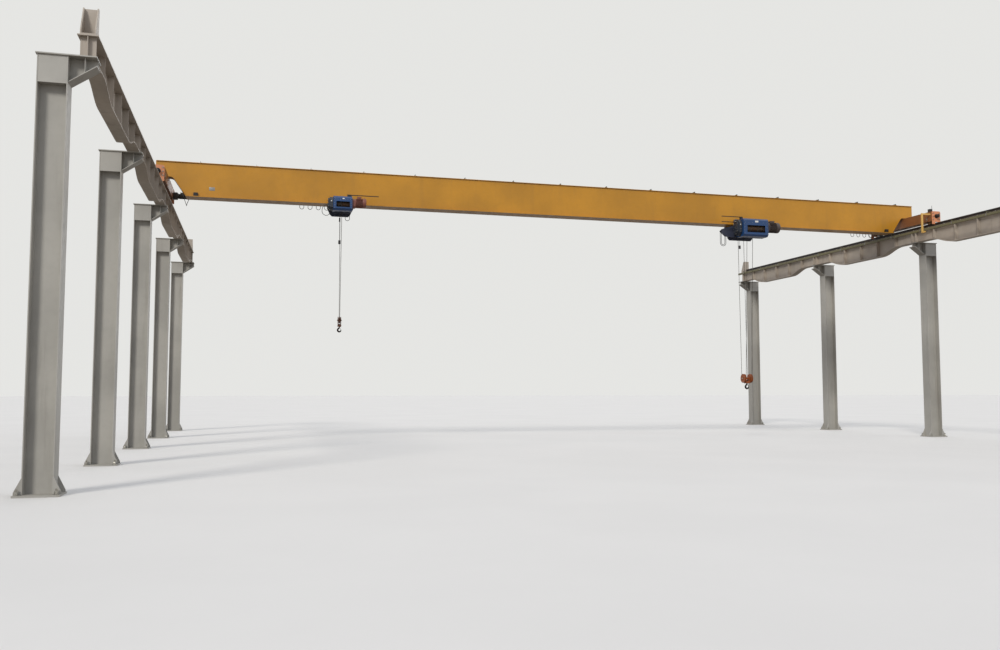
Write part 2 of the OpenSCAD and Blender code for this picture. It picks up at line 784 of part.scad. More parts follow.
module trolley_wheels(s) {
    mid = track_w / 2 + track_play - trolley_tread_w / 2 - 4;
    r = trolley_wheel_r;
    for (x = [-1, 1] * s[13] / 2, side = [0, 180])
        translate([x, 0, trolley_axle_z]) rotate([0, 0, side]) translate([0, -mid, 0])
            rotate([90, 0, 0]) rotate_extrude() polygon([
                [0, -trolley_tread_w / 2], [r - 3, -trolley_tread_w / 2],
                [r, -trolley_tread_w / 2 + 3], [r, trolley_tread_w / 2 + 4],
                [r + guide_h, trolley_tread_w / 2 + 6],
                [r + guide_h, trolley_tread_w / 2 + 4 + guide_t()],
                [24, trolley_tread_w / 2 + 4 + guide_t()], [24, cheek_in - mid],
                [0, cheek_in - mid]]);
}

chamfer = 60;
function octagon(w, h, c) =
    [[w, -h + c], [w, h - c], [w - c, h], [-w + c, h], [-w, h - c], [-w, -h + c],
     [-w + c, -h], [w - c, -h]];
function housing_outline(s, t) = octagon(housing_w(s) / 2 - t, s[1] / 2 - t, chamfer - t / 2);

module in_housing(s) {
    translate([housing_x(s), drum_y(s), drum_z(s)]) rotate([90, 0, 90]) children();
}

// Octagonal shell round the drum with a window in front and a rope slot below
module drum_housing(s) {
    l = s[0];
    difference() {
        in_housing(s) difference() {
            linear_extrude(height = l) polygon(housing_outline(s, 0));
            translate([0, 0, housing_wall]) linear_extrude(height = l - 2 * housing_wall)
                polygon(housing_outline(s, housing_wall));
            translate([0, 0, -1]) cylinder(r = s[2] * 0.45 + fit, h = l + 2);
        }
        translate([housing_x(s) + l * 0.15, drum_y(s) - housing_w(s) / 2 - 1,
                   drum_z(s) - s[1] * 0.28])
            cube([l * 0.72, housing_wall + 2, s[1] * 0.395]);
        translate([housing_x(s) + l * 0.12, drum_y(s) + s[2] * 0.5, drum_z(s) - s[1] / 2 - 1])
            cube([l * 0.76, housing_w(s) / 2, s[1] * 0.3]);
    }
    for (x = [0.1, 0.9])
        translate([housing_x(s) + l * x - 30, -housing_in - 1, drum_z(s) - 60])
            cube([60, housing_in + 1 - cheek_out, 120]);
}

groove_n = 18;

// Grooved drum between two flanges, turning on its shaft
module drum(s) {
    l = s[0] - 2 * housing_wall - 20;
    r = s[2];
    pitch = (l - 80) / groove_n;
    in_housing(s) translate([0, 0, housing_wall + 10]) {
        rotate_extrude() polygon(concat(
            [[0, 0], [r + 22, 0], [r + 22, 16], [r, 20]],
            [for (i = [0:groove_n - 1], e = [[0, 0.15], [-4, 0.35], [-4, 0.65], [0, 0.85]])
                [r + e[0], 40 + pitch * (i + e[1])]],
            [[r, l - 20], [r + 22, l - 16], [r + 22, l], [0, l]]));
        translate([0, 0, -housing_wall - 10]) cylinder(r = s[2] * 0.45, h = s[0]);
    }
}

cover_t = 22;

// Stepped gear case at the housing's left end, with a round cover
module gearbox(s) {
    l = s[12];
    w = gear_w(s);
    h = gear_h(s);
    step = l * 0.3;
    translate([gear_x(s), drum_y(s), drum_z(s)]) {
        rotate([90, 0, 90]) {
            linear_extrude(height = step + 1) polygon(octagon(w * 0.86, h * 0.86, h * 0.34));
            translate([0, 0, step]) linear_extrude(height = l - step - fit)
                polygon(octagon(w, h, h * 0.4));
        }
        translate([-cover_t, 0, -h * 0.33]) rotate([0, 90, 0])
            cylinder(r = h * 0.4, h = cover_t + 1);
    }
}

// Bearing case at the housing's right end with the finned motor, set a little higher
module motor(s) {
    r = s[3];
    l = s[4];
    fins = 9;
    in_housing(s) translate([0, motor_up / 2, s[0] + fit])
        linear_extrude(height = bearing_l + 1) polygon(octagon(r * 0.82, r * 0.95, r * 0.35));
    in_housing(s) translate([0, motor_up, s[0] + fit + bearing_l]) {
        rotate_extrude() polygon(concat(
            [[0, 0], [r * 0.9, 0], [r * 0.9, l * 0.08]],
            [for (i = [0:fins - 1], e = [[0.86, 0.1], [1, 0.1], [1, 0.55], [0.86, 0.55]])
                [r * e[0], l * (0.1 + 0.55 * (i + e[1]) / fins)]],
            [[r * 0.86, l * 0.68], [r * 0.98, l * 0.7], [r * 0.98, l * 0.9], [r * 0.8, l],
             [0, l]]));
        translate([-r * 0.45, r * 0.8, l * 0.2]) cube([r * 0.9, r * 0.42, l * 0.36]);
    }
}

// Cabinet on the far cheek that also balances the drum
module control_box(s) {
    l = s[0] * 0.9;
    translate([-l / 2, cheek_out + 15, girder_z - 120]) cube([l, 300, 430]);
    translate([-l / 2 + 20, cheek_out, girder_z - 90]) cube([60, 16, 80]);
    translate([l / 2 - 80, cheek_out, girder_z - 90]) cube([60, 16, 80]);
}

// Bar that tows the festoon cable, just short of the cable so that it passes along it
module cable_arm(s) {
    y0 = cheek_out + 200;
    top = arm_z - festoon_rail - 60;
    translate([arm_x(s) - 15, y0, girder_z + 310]) cube([30, 30, top - girder_z - 310]);
    translate([arm_x(s) - 15, y0, top - 15])
        cube([30, festoon_out - cable_d / 2 - 10 - y0, 30]);
}

// Weight on a rod under the near cheek, lifted by the hook block at its highest place
module limit_weight(s, drop) {
    translate([s[11], -cheek_in - cheek_t / 2, girder_z - drop]) {
        cylinder(d = 70, h = 110);
        cylinder(d = 8, h = drop - girder_z + frame_z(s));
    }
}

// Slimmer weight higher on the same rod
module upper_weight(s, drop) {
    translate([s[11], -cheek_in - cheek_t / 2, girder_z - drop]) cylinder(d = 45, h = 110);
}

bar_s = 22;
low_bar_down = 110;

// Bars that reach towards the other hoist and trip its travel limit
module small_striker_bar() {
    s = small_set;
    top = drum_z(s) + s[1] / 2;
    end = housing_x(s) + s[0];
    color([0.15, 0.15, 0.16]) at_hoist(small_x) translate([0, drum_y(s), top]) {
        translate([end - 135, -30, 0]) cube([130, 60, bar_up + bar_s / 2]);
        translate([end - 120, -bar_s / 2, bar_up - bar_s / 2])
            cube([bar_reach + 255, bar_s, bar_s]);
    }
}

module big_striker_bars() {
    s = big_set;
    top = drum_z(s) + s[1] / 2;
    x0 = housing_x(s);
    color([0.15, 0.15, 0.16]) at_hoist(big_x) translate([0, drum_y(s), top]) {
        translate([x0, -30, 0]) cube([90, 60, bar_up + bar_s / 2]);
        translate([x0 - bar_reach, -bar_s / 2, bar_up - bar_s / 2])
            cube([bar_reach + 80, bar_s, bar_s]);
        translate([x0 - bar_reach, -bar_s / 2, -bar_s / 2 - low_bar_down])
            cube([bar_reach - s[12], bar_s, bar_s]);
    }
}

function fall_top(s, side) =
    side < 0 ? [drum_y(s) + s[2] + rope_d / 2 + fit, drum_z(s)] : [anchor_y, anchor_z];

// Slightly spread falls of rope between the trolley and the hook block
module ropes(s) {
    for (i = [0:s[6] - 1], side = [-1, 1]) {
        top = fall_top(s, side);
        foot = [side * (s[5] - rope_d / 2 + fit), s[8]];
        run = top - foot;
        translate([fall_x(s, i), foot.x, foot.y])
            multmatrix([[1, 0, 0, 0], [0, 1, run.x / run.y, 0], [0, 0, 1, 0]])
                cylinder(d = rope_d, h = run.y);
    }
}

// The crosshead lies low enough for the hook's nut to clear one sheave, or the pin between two
function cross_z(s) = (s[6] == 1 ? 1.25 : 0.45) * s[5] + 0.7 * s[7] + (s[6] == 1 ? 10 : 24);

sheave_half = 20;
block_gap = 16;
block_plate_t = 12;

// Side plates of a block with one sheave, which also carry its crosshead
module side_plates(s) {
    r = s[5];
    low = cross_z(s) + r * 0.35;
    for (x = [-1, 1] * (sheave_half + block_gap + block_plate_t / 2))
        translate([x, 0, 0]) along_y(block_plate_t)
            polygon([[-r * 0.75, r * 0.5], [-r * 0.35, r * 0.95], [r * 0.35, r * 0.95],
                     [r * 0.75, r * 0.5], [r * 0.55, -low], [-r * 0.55, -low]]);
}

// Round covers outside the two sheaves, and plates between them that carry the crosshead
module cover_plates(s) {
    r = s[5];
    low = cross_z(s) + r * 0.3;
    out = sheave_half + block_gap + block_plate_t / 2;
    for (x = [-1, 1]) {
        translate([x * (fall_x(s, 1) + out), 0, 0]) rotate([0, 90, 0])
            cylinder(r = r, h = block_plate_t, center = true);
        translate([x * (fall_x(s, 1) - out), 0, 0]) along_y(block_plate_t)
            polygon([[-r * 0.35, r * 0.3], [r * 0.35, r * 0.3], [r * 0.45, -low],
                     [-r * 0.45, -low]]);
    }
}

// Plates, pin and crosshead of the hook block, with its sheaves
module hook_block(s) {
    r = s[5];
    last = fall_x(s, s[6] - 1);
    inner = s[6] == 1 ? sheave_half + block_gap
                      : last - sheave_half - block_gap - block_plate_t;
    pin_half = last + sheave_half + block_gap + block_plate_t + 8;
    translate([0, 0, s[8]]) {
        if (s[6] == 1) side_plates(s);
        else cover_plates(s);
        rotate([0, 90, 0]) cylinder(d = r * 0.4, h = 2 * pin_half, center = true);
        translate([0, 0, -cross_z(s)]) difference() {
            cube([2 * inner + 4, r * 0.8, r * 0.5], center = true);
            cylinder(d = s[7] + 2 * fit, h = r, center = true);
        }
        for (i = [0:s[6] - 1]) translate([fall_x(s, i), 0, 0]) rotate([0, 90, 0])
            rotate_extrude() polygon([
                [r * 0.1, -sheave_half], [r, -sheave_half], [r, -14], [r - rope_d, -5],
                [r - rope_d, 5], [r, 14], [r, sheave_half], [r * 0.1, sheave_half]]);
    }
}

hook_steps = 24;
neck_share = 0.3;
hook_start_a = 150;
hook_sweep = 240;
function bezier(p, t) = pow(1 - t, 3) * p[0] + 3 * pow(1 - t, 2) * t * p[1] +
                        3 * (1 - t) * t * t * p[2] + pow(t, 3) * p[3];
function bowl(k, a) = [0, -3.3 * k] + 1.25 * k * [cos(a), sin(a)];

// Centre line of the hook: a neck that swings to the back, then the round bowl
function hook_centre(k, t) =
    let (join = bowl(k, hook_start_a), dir = [-sin(hook_start_a), cos(hook_start_a)])
    t < neck_share
        ? bezier([[0, -1.1 * k], [0, -1.7 * k], join - 0.5 * k * dir, join], t / neck_share)
        : bowl(k, hook_start_a + hook_sweep * (t - neck_share) / (1 - neck_share));
function hook_size(k, t) =
    k * (0.48 + 0.16 * sin(180 * min(t * 1.1, 1)) - 0.34 * pow(max((t - 0.6) / 0.4, 0), 2));

hook_sides = 16;
function hook_ring(p, n, wide, thick) = [for (j = [0:hook_sides - 1]) let (a = 360 * j / hook_sides)
    [p.x + n.x * wide * cos(a), thick * sin(a), p.y + n.y * wide * cos(a)]];

// Hook in one sweep: nut, round shank, neck and tapered bowl, the shank's axis on Z
module hook(s) {
    k = s[7];
    nut = s[5] * 0.25 + fit;
    shank = [for (q = [[nut + 0.7 * k, 0.85], [nut, 0.85], [nut, 0.5], [-1.1 * k, 0.5]])
        hook_ring([0, q[0]], [1, 0], q[1] * k, q[1] * k)];
    pts = [for (i = [0:hook_steps]) hook_centre(k, i / hook_steps)];
    bowl = [for (i = [1:hook_steps])
        let (q = pts[min(i + 1, hook_steps)] - pts[i - 1], d = q / norm(q),
             size = hook_size(k, i / hook_steps))
        hook_ring(pts[i], [-d.y, d.x], size, size * 0.8)];
    rings = concat(shank, bowl);
    last = len(rings) - 1;
    walls = [for (i = [0:last - 1], j = [0:hook_sides - 1]) let (next = (j + 1) % hook_sides)
        [i * hook_sides + j, i * hook_sides + next, (i + 1) * hook_sides + next,
         (i + 1) * hook_sides + j]];
    translate([0, 0, s[8] - cross_z(s)])
        polyhedron(points = [for (r = rings) for (p = r) p],
                   faces = concat([[for (j = [hook_sides - 1:-1:0]) j]],
                                  [[for (j = [0:hook_sides - 1]) last * hook_sides + j]], walls));
}

module small_trolley_frame() { color([0.12, 0.15, 0.28]) at_hoist(small_x) trolley_frame(small_set); }
module small_trolley_wheels() { color([0.45, 0.45, 0.46]) at_hoist(small_x) trolley_wheels(small_set); }
module small_drum_housing() { color([0.12, 0.30, 0.58]) at_hoist(small_x) drum_housing(small_set); }
module small_drum() { color([0.40, 0.30, 0.24]) at_hoist(small_x) drum(small_set); }
module small_gearbox() { color([0.12, 0.16, 0.24]) at_hoist(small_x) gearbox(small_set); }
module small_motor() { color([0.42, 0.22, 0.18]) at_hoist(small_x) motor(small_set); }
module small_control_box() { color([0.12, 0.30, 0.58]) at_hoist(small_x) control_box(small_set); }
module small_cable_arm() { color([0.15, 0.15, 0.16]) at_hoist(small_x) cable_arm(small_set); }
module small_limit_weight() {
    color([0.12, 0.12, 0.12]) at_hoist(small_x) {
        limit_weight(small_set, small_weight_drop);
        upper_weight(small_set, small_upper_drop);
    }
}
module small_ropes() { color([0.40, 0.38, 0.34]) at_hoist(small_x) ropes(small_set); }
module small_hook_block() { color([0.30, 0.18, 0.12]) at_hoist(small_x) hook_block(small_set); }
module small_hook() { color([0.16, 0.15, 0.15]) at_hoist(small_x) hook(small_set); }

module big_trolley_frame() {
    color([0.12, 0.15, 0.28]) at_hoist(big_x) {
        trolley_frame(big_set);
        cable_bracket(big_set);
    }
}
module big_trolley_wheels() { color([0.45, 0.45, 0.46]) at_hoist(big_x) trolley_wheels(big_set); }
module big_drum_housing() { color([0.12, 0.34, 0.62]) at_hoist(big_x) drum_housing(big_set); }
module big_drum() { color([0.40, 0.30, 0.24]) at_hoist(big_x) drum(big_set); }
module big_gearbox() { color([0.14, 0.17, 0.25]) at_hoist(big_x) gearbox(big_set); }
module big_motor() { color([0.20, 0.18, 0.20]) at_hoist(big_x) motor(big_set); }
module big_control_box() { color([0.12, 0.34, 0.62]) at_hoist(big_x) control_box(big_set); }
module big_cable_arm() { color([0.15, 0.15, 0.16]) at_hoist(big_x) cable_arm(big_set); }
module big_limit_weight() {
    color([0.12, 0.12, 0.12]) at_hoist(big_x) limit_weight(big_set, big_weight_drop);
}
module big_ropes() { color([0.40, 0.38, 0.34]) at_hoist(big_x) ropes(big_set); }
module big_hook_block() { color([0.48, 0.28, 0.16]) at_hoist(big_x) hook_block(big_set); }
module big_hook() { color([0.16, 0.15, 0.15]) at_hoist(big_x) hook(big_set); }

// Outline of a strip of width w along a line of points
function band(pts, w) =
    let (n = len(pts) - 1,
         ups = [for (i = [0:n]) let (q = pts[min(i + 1, n)] - pts[max(i - 1, 0)], d = q / norm(q))
             [-d.y, d.x] * w / 2])
    concat([for (i = [0:n]) pts[i] + ups[i]], [for (i = [n:-1:0]) pts[i] - ups[i]]);

bend_r = 4 * cable_d;
arc_steps = 3;
sag_steps = 10;

// Length of a loop that leaves its saddles at an angle a and hangs in a parabola between them
function wide_length(pitch, a) =
    let (c = pitch / 2 - bend_r * sin(a), t = tan(a), q = sqrt(1 + t * t))
    2 * bend_r * a * PI / 180 + c * (q + ln(t + q) / t);
function wide_angle(pitch, lo, hi, n) =
    let (a = (lo + hi) / 2)
    n == 0 ? a
           : wide_length(pitch, a) < loop_length ? wide_angle(pitch, a, hi, n - 1)
                                                 : wide_angle(pitch, lo, a, n - 1);
function saddle_arc(a) =
    [for (i = [0:arc_steps]) let (b = a * i / arc_steps) bend_r * [sin(b), cos(b) - 1]];
function wide_loop(pitch) =
    let (a = wide_angle(pitch, 5, 89, 24), arc = saddle_arc(a), c = pitch / 2 - bend_r * sin(a))
    concat(arc,
           [for (i = [1:sag_steps - 1]) let (u = c * (2 * i / sag_steps - 1))
               [pitch / 2 + u, arc[arc_steps].y - tan(a) * (c * c - u * u) / (2 * c)]],
           [for (i = [arc_steps:-1:1]) [pitch - arc[i].x, arc[i].y]]);
function narrow_loop() =
    let (arc = saddle_arc(90), leg = loop_length / 2 - PI * bend_r)
    concat(arc,
           [for (i = [0:2 * arc_steps]) let (b = 90 * i / arc_steps)
               [2 * bend_r - bend_r * cos(b), -bend_r - leg - bend_r * sin(b)]],
           [for (i = [arc_steps:-1:1]) [4 * bend_r - arc[i].x, arc[i].y]]);

cable_z = arm_z - festoon_rail - 60;

// Saddle under the cable, hung from the track
module carrier() {
    r = bend_r - cable_d / 2 + 1;
    across_x(cable_d + 8) {
        polygon([for (i = [0:8]) [0, cable_z - bend_r] + r * [cos(22.5 * i), sin(22.5 * i)]]);
        translate([-12, cable_z - bend_r]) square([24, arm_z - festoon_rail - cable_z + bend_r]);
    }
}

// A cable that hangs in wide loops first and in a bunch of narrow loops last
module festoon_cable(from, to) {
    bunch = bunch_n * 4 * bend_r;
    wide = ceil((to - from - bunch) / loop_max);
    pitch = (to - from - bunch) / wide;
    line = concat([for (i = [0:wide - 1], p = wide_loop(pitch)) p + [i * pitch, 0]],
                  [for (i = [0:bunch_n - 1], p = narrow_loop())
                      p + [wide * pitch + i * 4 * bend_r, 0]],
                  [[to - from, 0]]);
    translate([from, bridge_y + festoon_out, 0]) {
        translate([0, 0, cable_z]) across_x(cable_d) polygon(band(line, cable_d));
        for (i = [0:wide]) translate([i * pitch, 0, 0]) carrier();
        for (i = [1:bunch_n]) translate([wide * pitch + i * 4 * bend_r, 0, 0]) carrier();
    }
}

module small_festoon_cable() {
    color([0.10, 0.10, 0.11])
        festoon_cable(small_cable_in - girder_half, small_x + arm_x(small_set));
}
module big_festoon_cable() {
    color([0.10, 0.10, 0.11])
        festoon_cable(big_x + arm_x(big_set), girder_half - big_cable_in);
}

u_steps = 8;
// Cable that hangs in a U between two legs at x0 and x1
function u_line(x0, x1, top0, top1, low) =
    let (r = (x1 - x0) / 2)
    concat([[x0, top0]],
           [for (i = [0:u_steps]) let (b = 180 * i / u_steps)
               [x0 + r - r * cos(b), low + r - r * sin(b)]],
           [[x1, top1]]);

// Bow from the gear case's cover round to the underside of the case
function bow_line(s) =
    let (x = gear_x(s), z = drum_z(s) - 35, low = drum_z(s) - gear_h(s))
    concat([[x - cover_t, z]],
           [for (i = [0:5]) bezier([[x - cover_t - 20, z], [x - 120, z], [x - 180, z - 75],
                                    [x - 180, z - 185]], i / 5)],
           [for (i = [1:7]) bezier([[x - 180, z - 185], [x - 180, z - 355], [x + 60, z - 375],
                                    [x + 60, low - 25]], i / 7)],
           [[x + 60, low]]);

bow_y = 35;

module small_power_cables() {
    s = small_set;
    low = frame_z(s);
    color([0.10, 0.10, 0.11]) at_hoist(small_x) {
        translate([0, drum_y(s) + bow_y, 0]) across_x(cable_d)
            polygon(band(bow_line(s), cable_d));
        translate([0, -cheek_in - cheek_t / 2, 0]) across_x(cable_d)
            polygon(band(u_line(110, 240, low, low, low - 220), cable_d));
    }
}

// Two loops clipped to the bracket's near face
module big_power_cables() {
    s = big_set;
    tip = -frame_half(s) - bracket_l;
    up = girder_z - bracket_tip + 20;
    low = frame_z(s);
    color([0.10, 0.10, 0.11])
        at_hoist(big_x) translate([0, -cheek_out - cable_d / 2 - fit, 0]) across_x(cable_d) {
            polygon(band(u_line(tip + 20, tip + 230, up, low + 60, low - 310), cable_d));
            polygon(band(u_line(tip + 60, tip + 190, up + 20, low + 90, low - 270), cable_d));
        }
}

left_columns();
right_columns();
left_runway_beams();
right_runway_beams();
left_rail();
right_rail();
runway_end_stops();
conductor_line();
girder_near_web();
girder_far_web();
girder_top_flange();
girder_bottom_flange();
girder_diaphragms();
girder_end_closures();
girder_seats();
left_end_truck();
right_end_truck();
end_plates();
buffers();
left_drive();
right_drive();
collector_arm();
hoist_stops();
festoon_arms();
festoon_track();
left_near_wheel();
left_far_wheel();
right_near_wheel();
right_far_wheel();
small_trolley_frame();
small_trolley_wheels();
small_drum_housing();
small_drum();
small_gearbox();
small_motor();
small_control_box();
small_cable_arm();
small_striker_bar();
small_limit_weight();
small_ropes();
small_hook_block();
small_hook();
big_trolley_frame();
big_trolley_wheels();
big_drum_housing();
big_drum();
big_gearbox();
big_motor();
big_control_box();
big_cable_arm();
big_striker_bars();
big_limit_weight();
big_ropes();
big_hook_block();
big_hook();
small_power_cables();
big_power_cables();
small_festoon_cable();
big_festoon_cable();
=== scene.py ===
"""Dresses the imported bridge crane: materials, then ropes and cables, then fine detail.

Lengths are in metres: x runs along the girder, y along the runway, z up from the floor.
"""
import json
import math
import random

import bmesh
import bpy
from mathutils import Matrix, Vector


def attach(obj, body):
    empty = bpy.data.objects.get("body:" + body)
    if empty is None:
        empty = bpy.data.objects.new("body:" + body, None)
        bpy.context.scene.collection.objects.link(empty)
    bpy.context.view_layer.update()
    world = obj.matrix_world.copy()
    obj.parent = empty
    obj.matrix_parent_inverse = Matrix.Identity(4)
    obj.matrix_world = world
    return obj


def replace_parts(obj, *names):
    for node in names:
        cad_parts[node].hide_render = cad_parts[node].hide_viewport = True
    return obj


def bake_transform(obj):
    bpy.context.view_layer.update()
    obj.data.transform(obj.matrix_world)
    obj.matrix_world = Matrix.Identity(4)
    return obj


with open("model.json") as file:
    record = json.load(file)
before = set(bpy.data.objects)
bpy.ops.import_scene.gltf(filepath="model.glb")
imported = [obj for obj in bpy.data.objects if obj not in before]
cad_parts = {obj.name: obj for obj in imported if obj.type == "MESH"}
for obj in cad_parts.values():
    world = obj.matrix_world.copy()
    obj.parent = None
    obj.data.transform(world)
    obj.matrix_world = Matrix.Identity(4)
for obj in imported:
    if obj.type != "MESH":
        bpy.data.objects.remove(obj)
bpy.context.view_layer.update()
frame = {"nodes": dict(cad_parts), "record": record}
random.seed(7)

# Runway, as in part.scad
RAIL_X, RAIL_TOP, BEAM_TOP, SEAT_Z = 12.75, 7.45, 7.316, 6.896
BAY, BAYS, BEAM_GAP = 6.0, 4, 0.010
BEAM_END_H, BEAM_SWELL, HAUNCH_AT, HAUNCH_L = 0.42, 0.23, 0.85, 1.05
COL_IN, COL_D, COL_W, BASE_OVER, BASE_T = RAIL_X + 0.24, 0.45, 0.35, 0.11, 0.03
ANCHOR_IN, SEAT_BOLT_X, SEAT_BOLT_Y, SEAT_T = 0.055, 0.09, 0.075, 0.014
CLIPS, CLIP_PITCH, HANGERS, HANGER_PITCH = 31, 0.75, 16, 1.5
POWER_X, POWER_Z = RAIL_X - 0.43, 7.16

# Bridge: it stands at BY along the runway, its girder reaches from GZ to GT
BY = 0.6
GZ, GT, TOP_T, TRACK_T = 7.29, 8.32, 0.014, 0.020
GIRDER_W, GIRDER_HALF, SLANT_X = 0.33, 12.95, 12.09
TRUCK_TOP, TRUCK_L, TRUCK_W, END_T = 7.85, 3.24, 0.30, 0.014
END_BOLT_X, END_BOLT_Z = 0.13, (7.56, 7.67, 7.78)
AXLE_Z, WHEELBASE, BEARING_T, BEARING_BOLT_R = 7.6003, 2.7, 0.018, 0.068
DRIVE_R, DRIVE_L, FLANGE_L, DRIVE_STEM = 0.085, 0.312, 0.12, 0.138

# Hoists: side plates, housing with its window (shares of length and height), motor, bracket
CHEEK_IN, CHEEK_OUT, HOUSING_IN = 0.288, 0.304, 0.312
TROLLEY_Z = GZ + TRACK_T + 0.0803
BEARING_L, MOTOR_UP, COVER_T = 0.10, 0.06, 0.022
BRACKET_L, BRACKET_TIP = 0.545, 0.265
CONTROL_Y, CONTROL_Z = BY + CHEEK_OUT + 0.315, (GZ - 0.12, GZ + 0.31)
WINDOW_X, WINDOW_Z, GROOVES = (0.15, 0.87), (-0.28, 0.115), 18
CORNERS = ((-1, -1), (-1, 1), (1, -1), (1, 1))

# Ropes and cables; FIT is the gap between parts that only touch
FIT = 0.0003
ROPE_D, CABLE_D = 0.015, 0.016
BEND_R = 4 * CABLE_D
FEST_Y, CABLE_Z = BY + 0.96, GT - 0.1
LOOP_L, LOOP_MAX, BUNCH_N = 1.95, 1.7, 4
CABLE_ENDS = {"small": 0.85 - GIRDER_HALF, "big": GIRDER_HALF - 0.80}

# x, z: hook block; l, h: housing; dz: height of the drum's axis; start: housing's end from x;
# drum, sheave, mr: radii of drum, sheave and motor; ml: motor length; n: rope falls a side;
# k: hook thickness; gear: gear case length; base, drop: trolley frame; badge: plate's height
# above the drum's axis and its size; lift: travel up from rest
HOISTS = {
    "small": dict(x=-7.60, l=0.56, h=0.43, drum=0.12, mr=0.145, ml=0.33, sheave=0.105, n=1,
                  k=0.040, z=3.76, start=-0.28, dz=GZ - 0.055, gear=0.14, base=0.58,
                  drop=0.29, arm=-1, motor="motor_red", badge=(0.137, 0.030), lift=2.5),
    "big": dict(x=6.22, l=0.93, h=0.60, drum=0.16, mr=0.18, ml=0.43, sheave=0.150, n=2,
                k=0.048, z=2.04, start=-0.47, dz=GZ - 0.165, gear=0.17, base=0.90,
                drop=0.45, arm=1, motor="dark_motor", badge=(0.200, 0.060), lift=4.1),
}
for h in HOISTS.values():
    single = h["n"] == 1
    h["w"] = 2 * h["drum"] + 0.17
    h["y"] = BY - (HOUSING_IN + h["w"] / 2)
    h["x0"] = h["x"] + h["start"]
    h["gear_x"] = h["x0"] - h["gear"]
    h["gear_w"], h["gear_h"] = 0.32 * h["w"], 0.45 * h["h"]
    h["half"] = h["base"] / 2 + 0.11
    h["low"] = GZ - h["drop"]
    h["arm_x"] = h["x"] + h["arm"] * 0.42 * h["l"]
    h["cross"] = ((1.25 if single else 0.45) * h["sheave"] + 0.7 * h["k"]
                  + (0.010 if single else 0.024))
    h["falls"] = [0.0] if single else [-0.72 * h["sheave"], 0.72 * h["sheave"]]


def linear(rgb):
    return [c / 12.92 if c <= 0.04045 else ((c + 0.055) / 1.055) ** 2.4 for c in rgb] + [1.0]


class Nodes:
    """A material's node tree, written in short calls."""

    def __init__(self, name):
        self.mat = bpy.data.materials.new(name)
        self.mat.use_nodes = True
        self.tree = self.mat.node_tree
        self.tree.nodes.clear()
        self.out = self.add("ShaderNodeOutputMaterial")
        self.bsdf = self.add("ShaderNodeBsdfPrincipled")
        self.link(self.bsdf.outputs[0], self.out.inputs[0])
        self.where = self.add("ShaderNodeTexCoord").outputs["Object"]

    def add(self, kind, **values):
        node = self.tree.nodes.new(kind)
        for key, value in values.items():
            setattr(node, key, value)
        return node

    def link(self, a, b):
        self.tree.links.new(a, b)

    def put(self, socket, value):
        if isinstance(value, bpy.types.NodeSocket):
            self.link(value, socket)
        elif isinstance(value, (list, tuple)) and len(value) == 3 and socket.type == "RGBA":
            socket.default_value = linear(value)
        else:
            socket.default_value = value

    def noise(self, scale, stretch=(1, 1, 1), detail=3.0, rough=0.55):
        place = self.where
        if stretch != (1, 1, 1):
            mapping = self.add("ShaderNodeMapping")
            mapping.inputs["Scale"].default_value = stretch
            self.link(self.where, mapping.inputs[0])
            place = mapping.outputs[0]
        node = self.add("ShaderNodeTexNoise")
        self.link(place, node.inputs["Vector"])
        node.inputs["Scale"].default_value = scale
        node.inputs["Detail"].default_value = detail
        node.inputs["Roughness"].default_value = rough
        return node.outputs[0]

    def ramp(self, value, low, high, out_low=0.0, out_high=1.0):
        node = self.add("ShaderNodeMapRange", interpolation_type="SMOOTHSTEP")
        self.put(node.inputs["Value"], value)
        for key, number in (("From Min", low), ("From Max", high),
                            ("To Min", out_low), ("To Max", out_high)):
            node.inputs[key].default_value = number
        return node.outputs[0]

    def math(self, what, a, b):
        node = self.add("ShaderNodeMath", operation=what)
        self.put(node.inputs[0], a)
        self.put(node.inputs[1], b)
        return node.outputs[0]

    def mix(self, amount, a, b):
        node = self.add("ShaderNodeMix", data_type="RGBA")
        self.put(node.inputs[0], amount)
        self.put(node.inputs[6], a)
        self.put(node.inputs[7], b)
        return node.outputs[2]

    def facing(self, axis="Z"):
        normal = self.add("ShaderNodeNewGeometry").outputs["Normal"]
        split = self.add("ShaderNodeSeparateXYZ")
        self.link(normal, split.inputs[0])
        return split.outputs[axis]

    def bump(self, height, strength, distance):
        node = self.add("ShaderNodeBump")
        node.inputs["Strength"].default_value = strength
        node.inputs["Distance"].default_value = distance
        self.link(height, node.inputs["Height"])
        self.link(node.outputs[0], self.bsdf.inputs["Normal"])

    def done(self, colour, rough, metal=0.0, coat=0.0):
        self.put(self.bsdf.inputs["Base Color"], colour)
        self.put(self.bsdf.inputs["Roughness"], rough)
        self.bsdf.inputs["Metallic"].default_value = metal
        self.bsdf.inputs["Coat Weight"].default_value = coat
        return self.mat


def shade(rgb, k):
    return [min(1.0, c * k) for c in rgb]


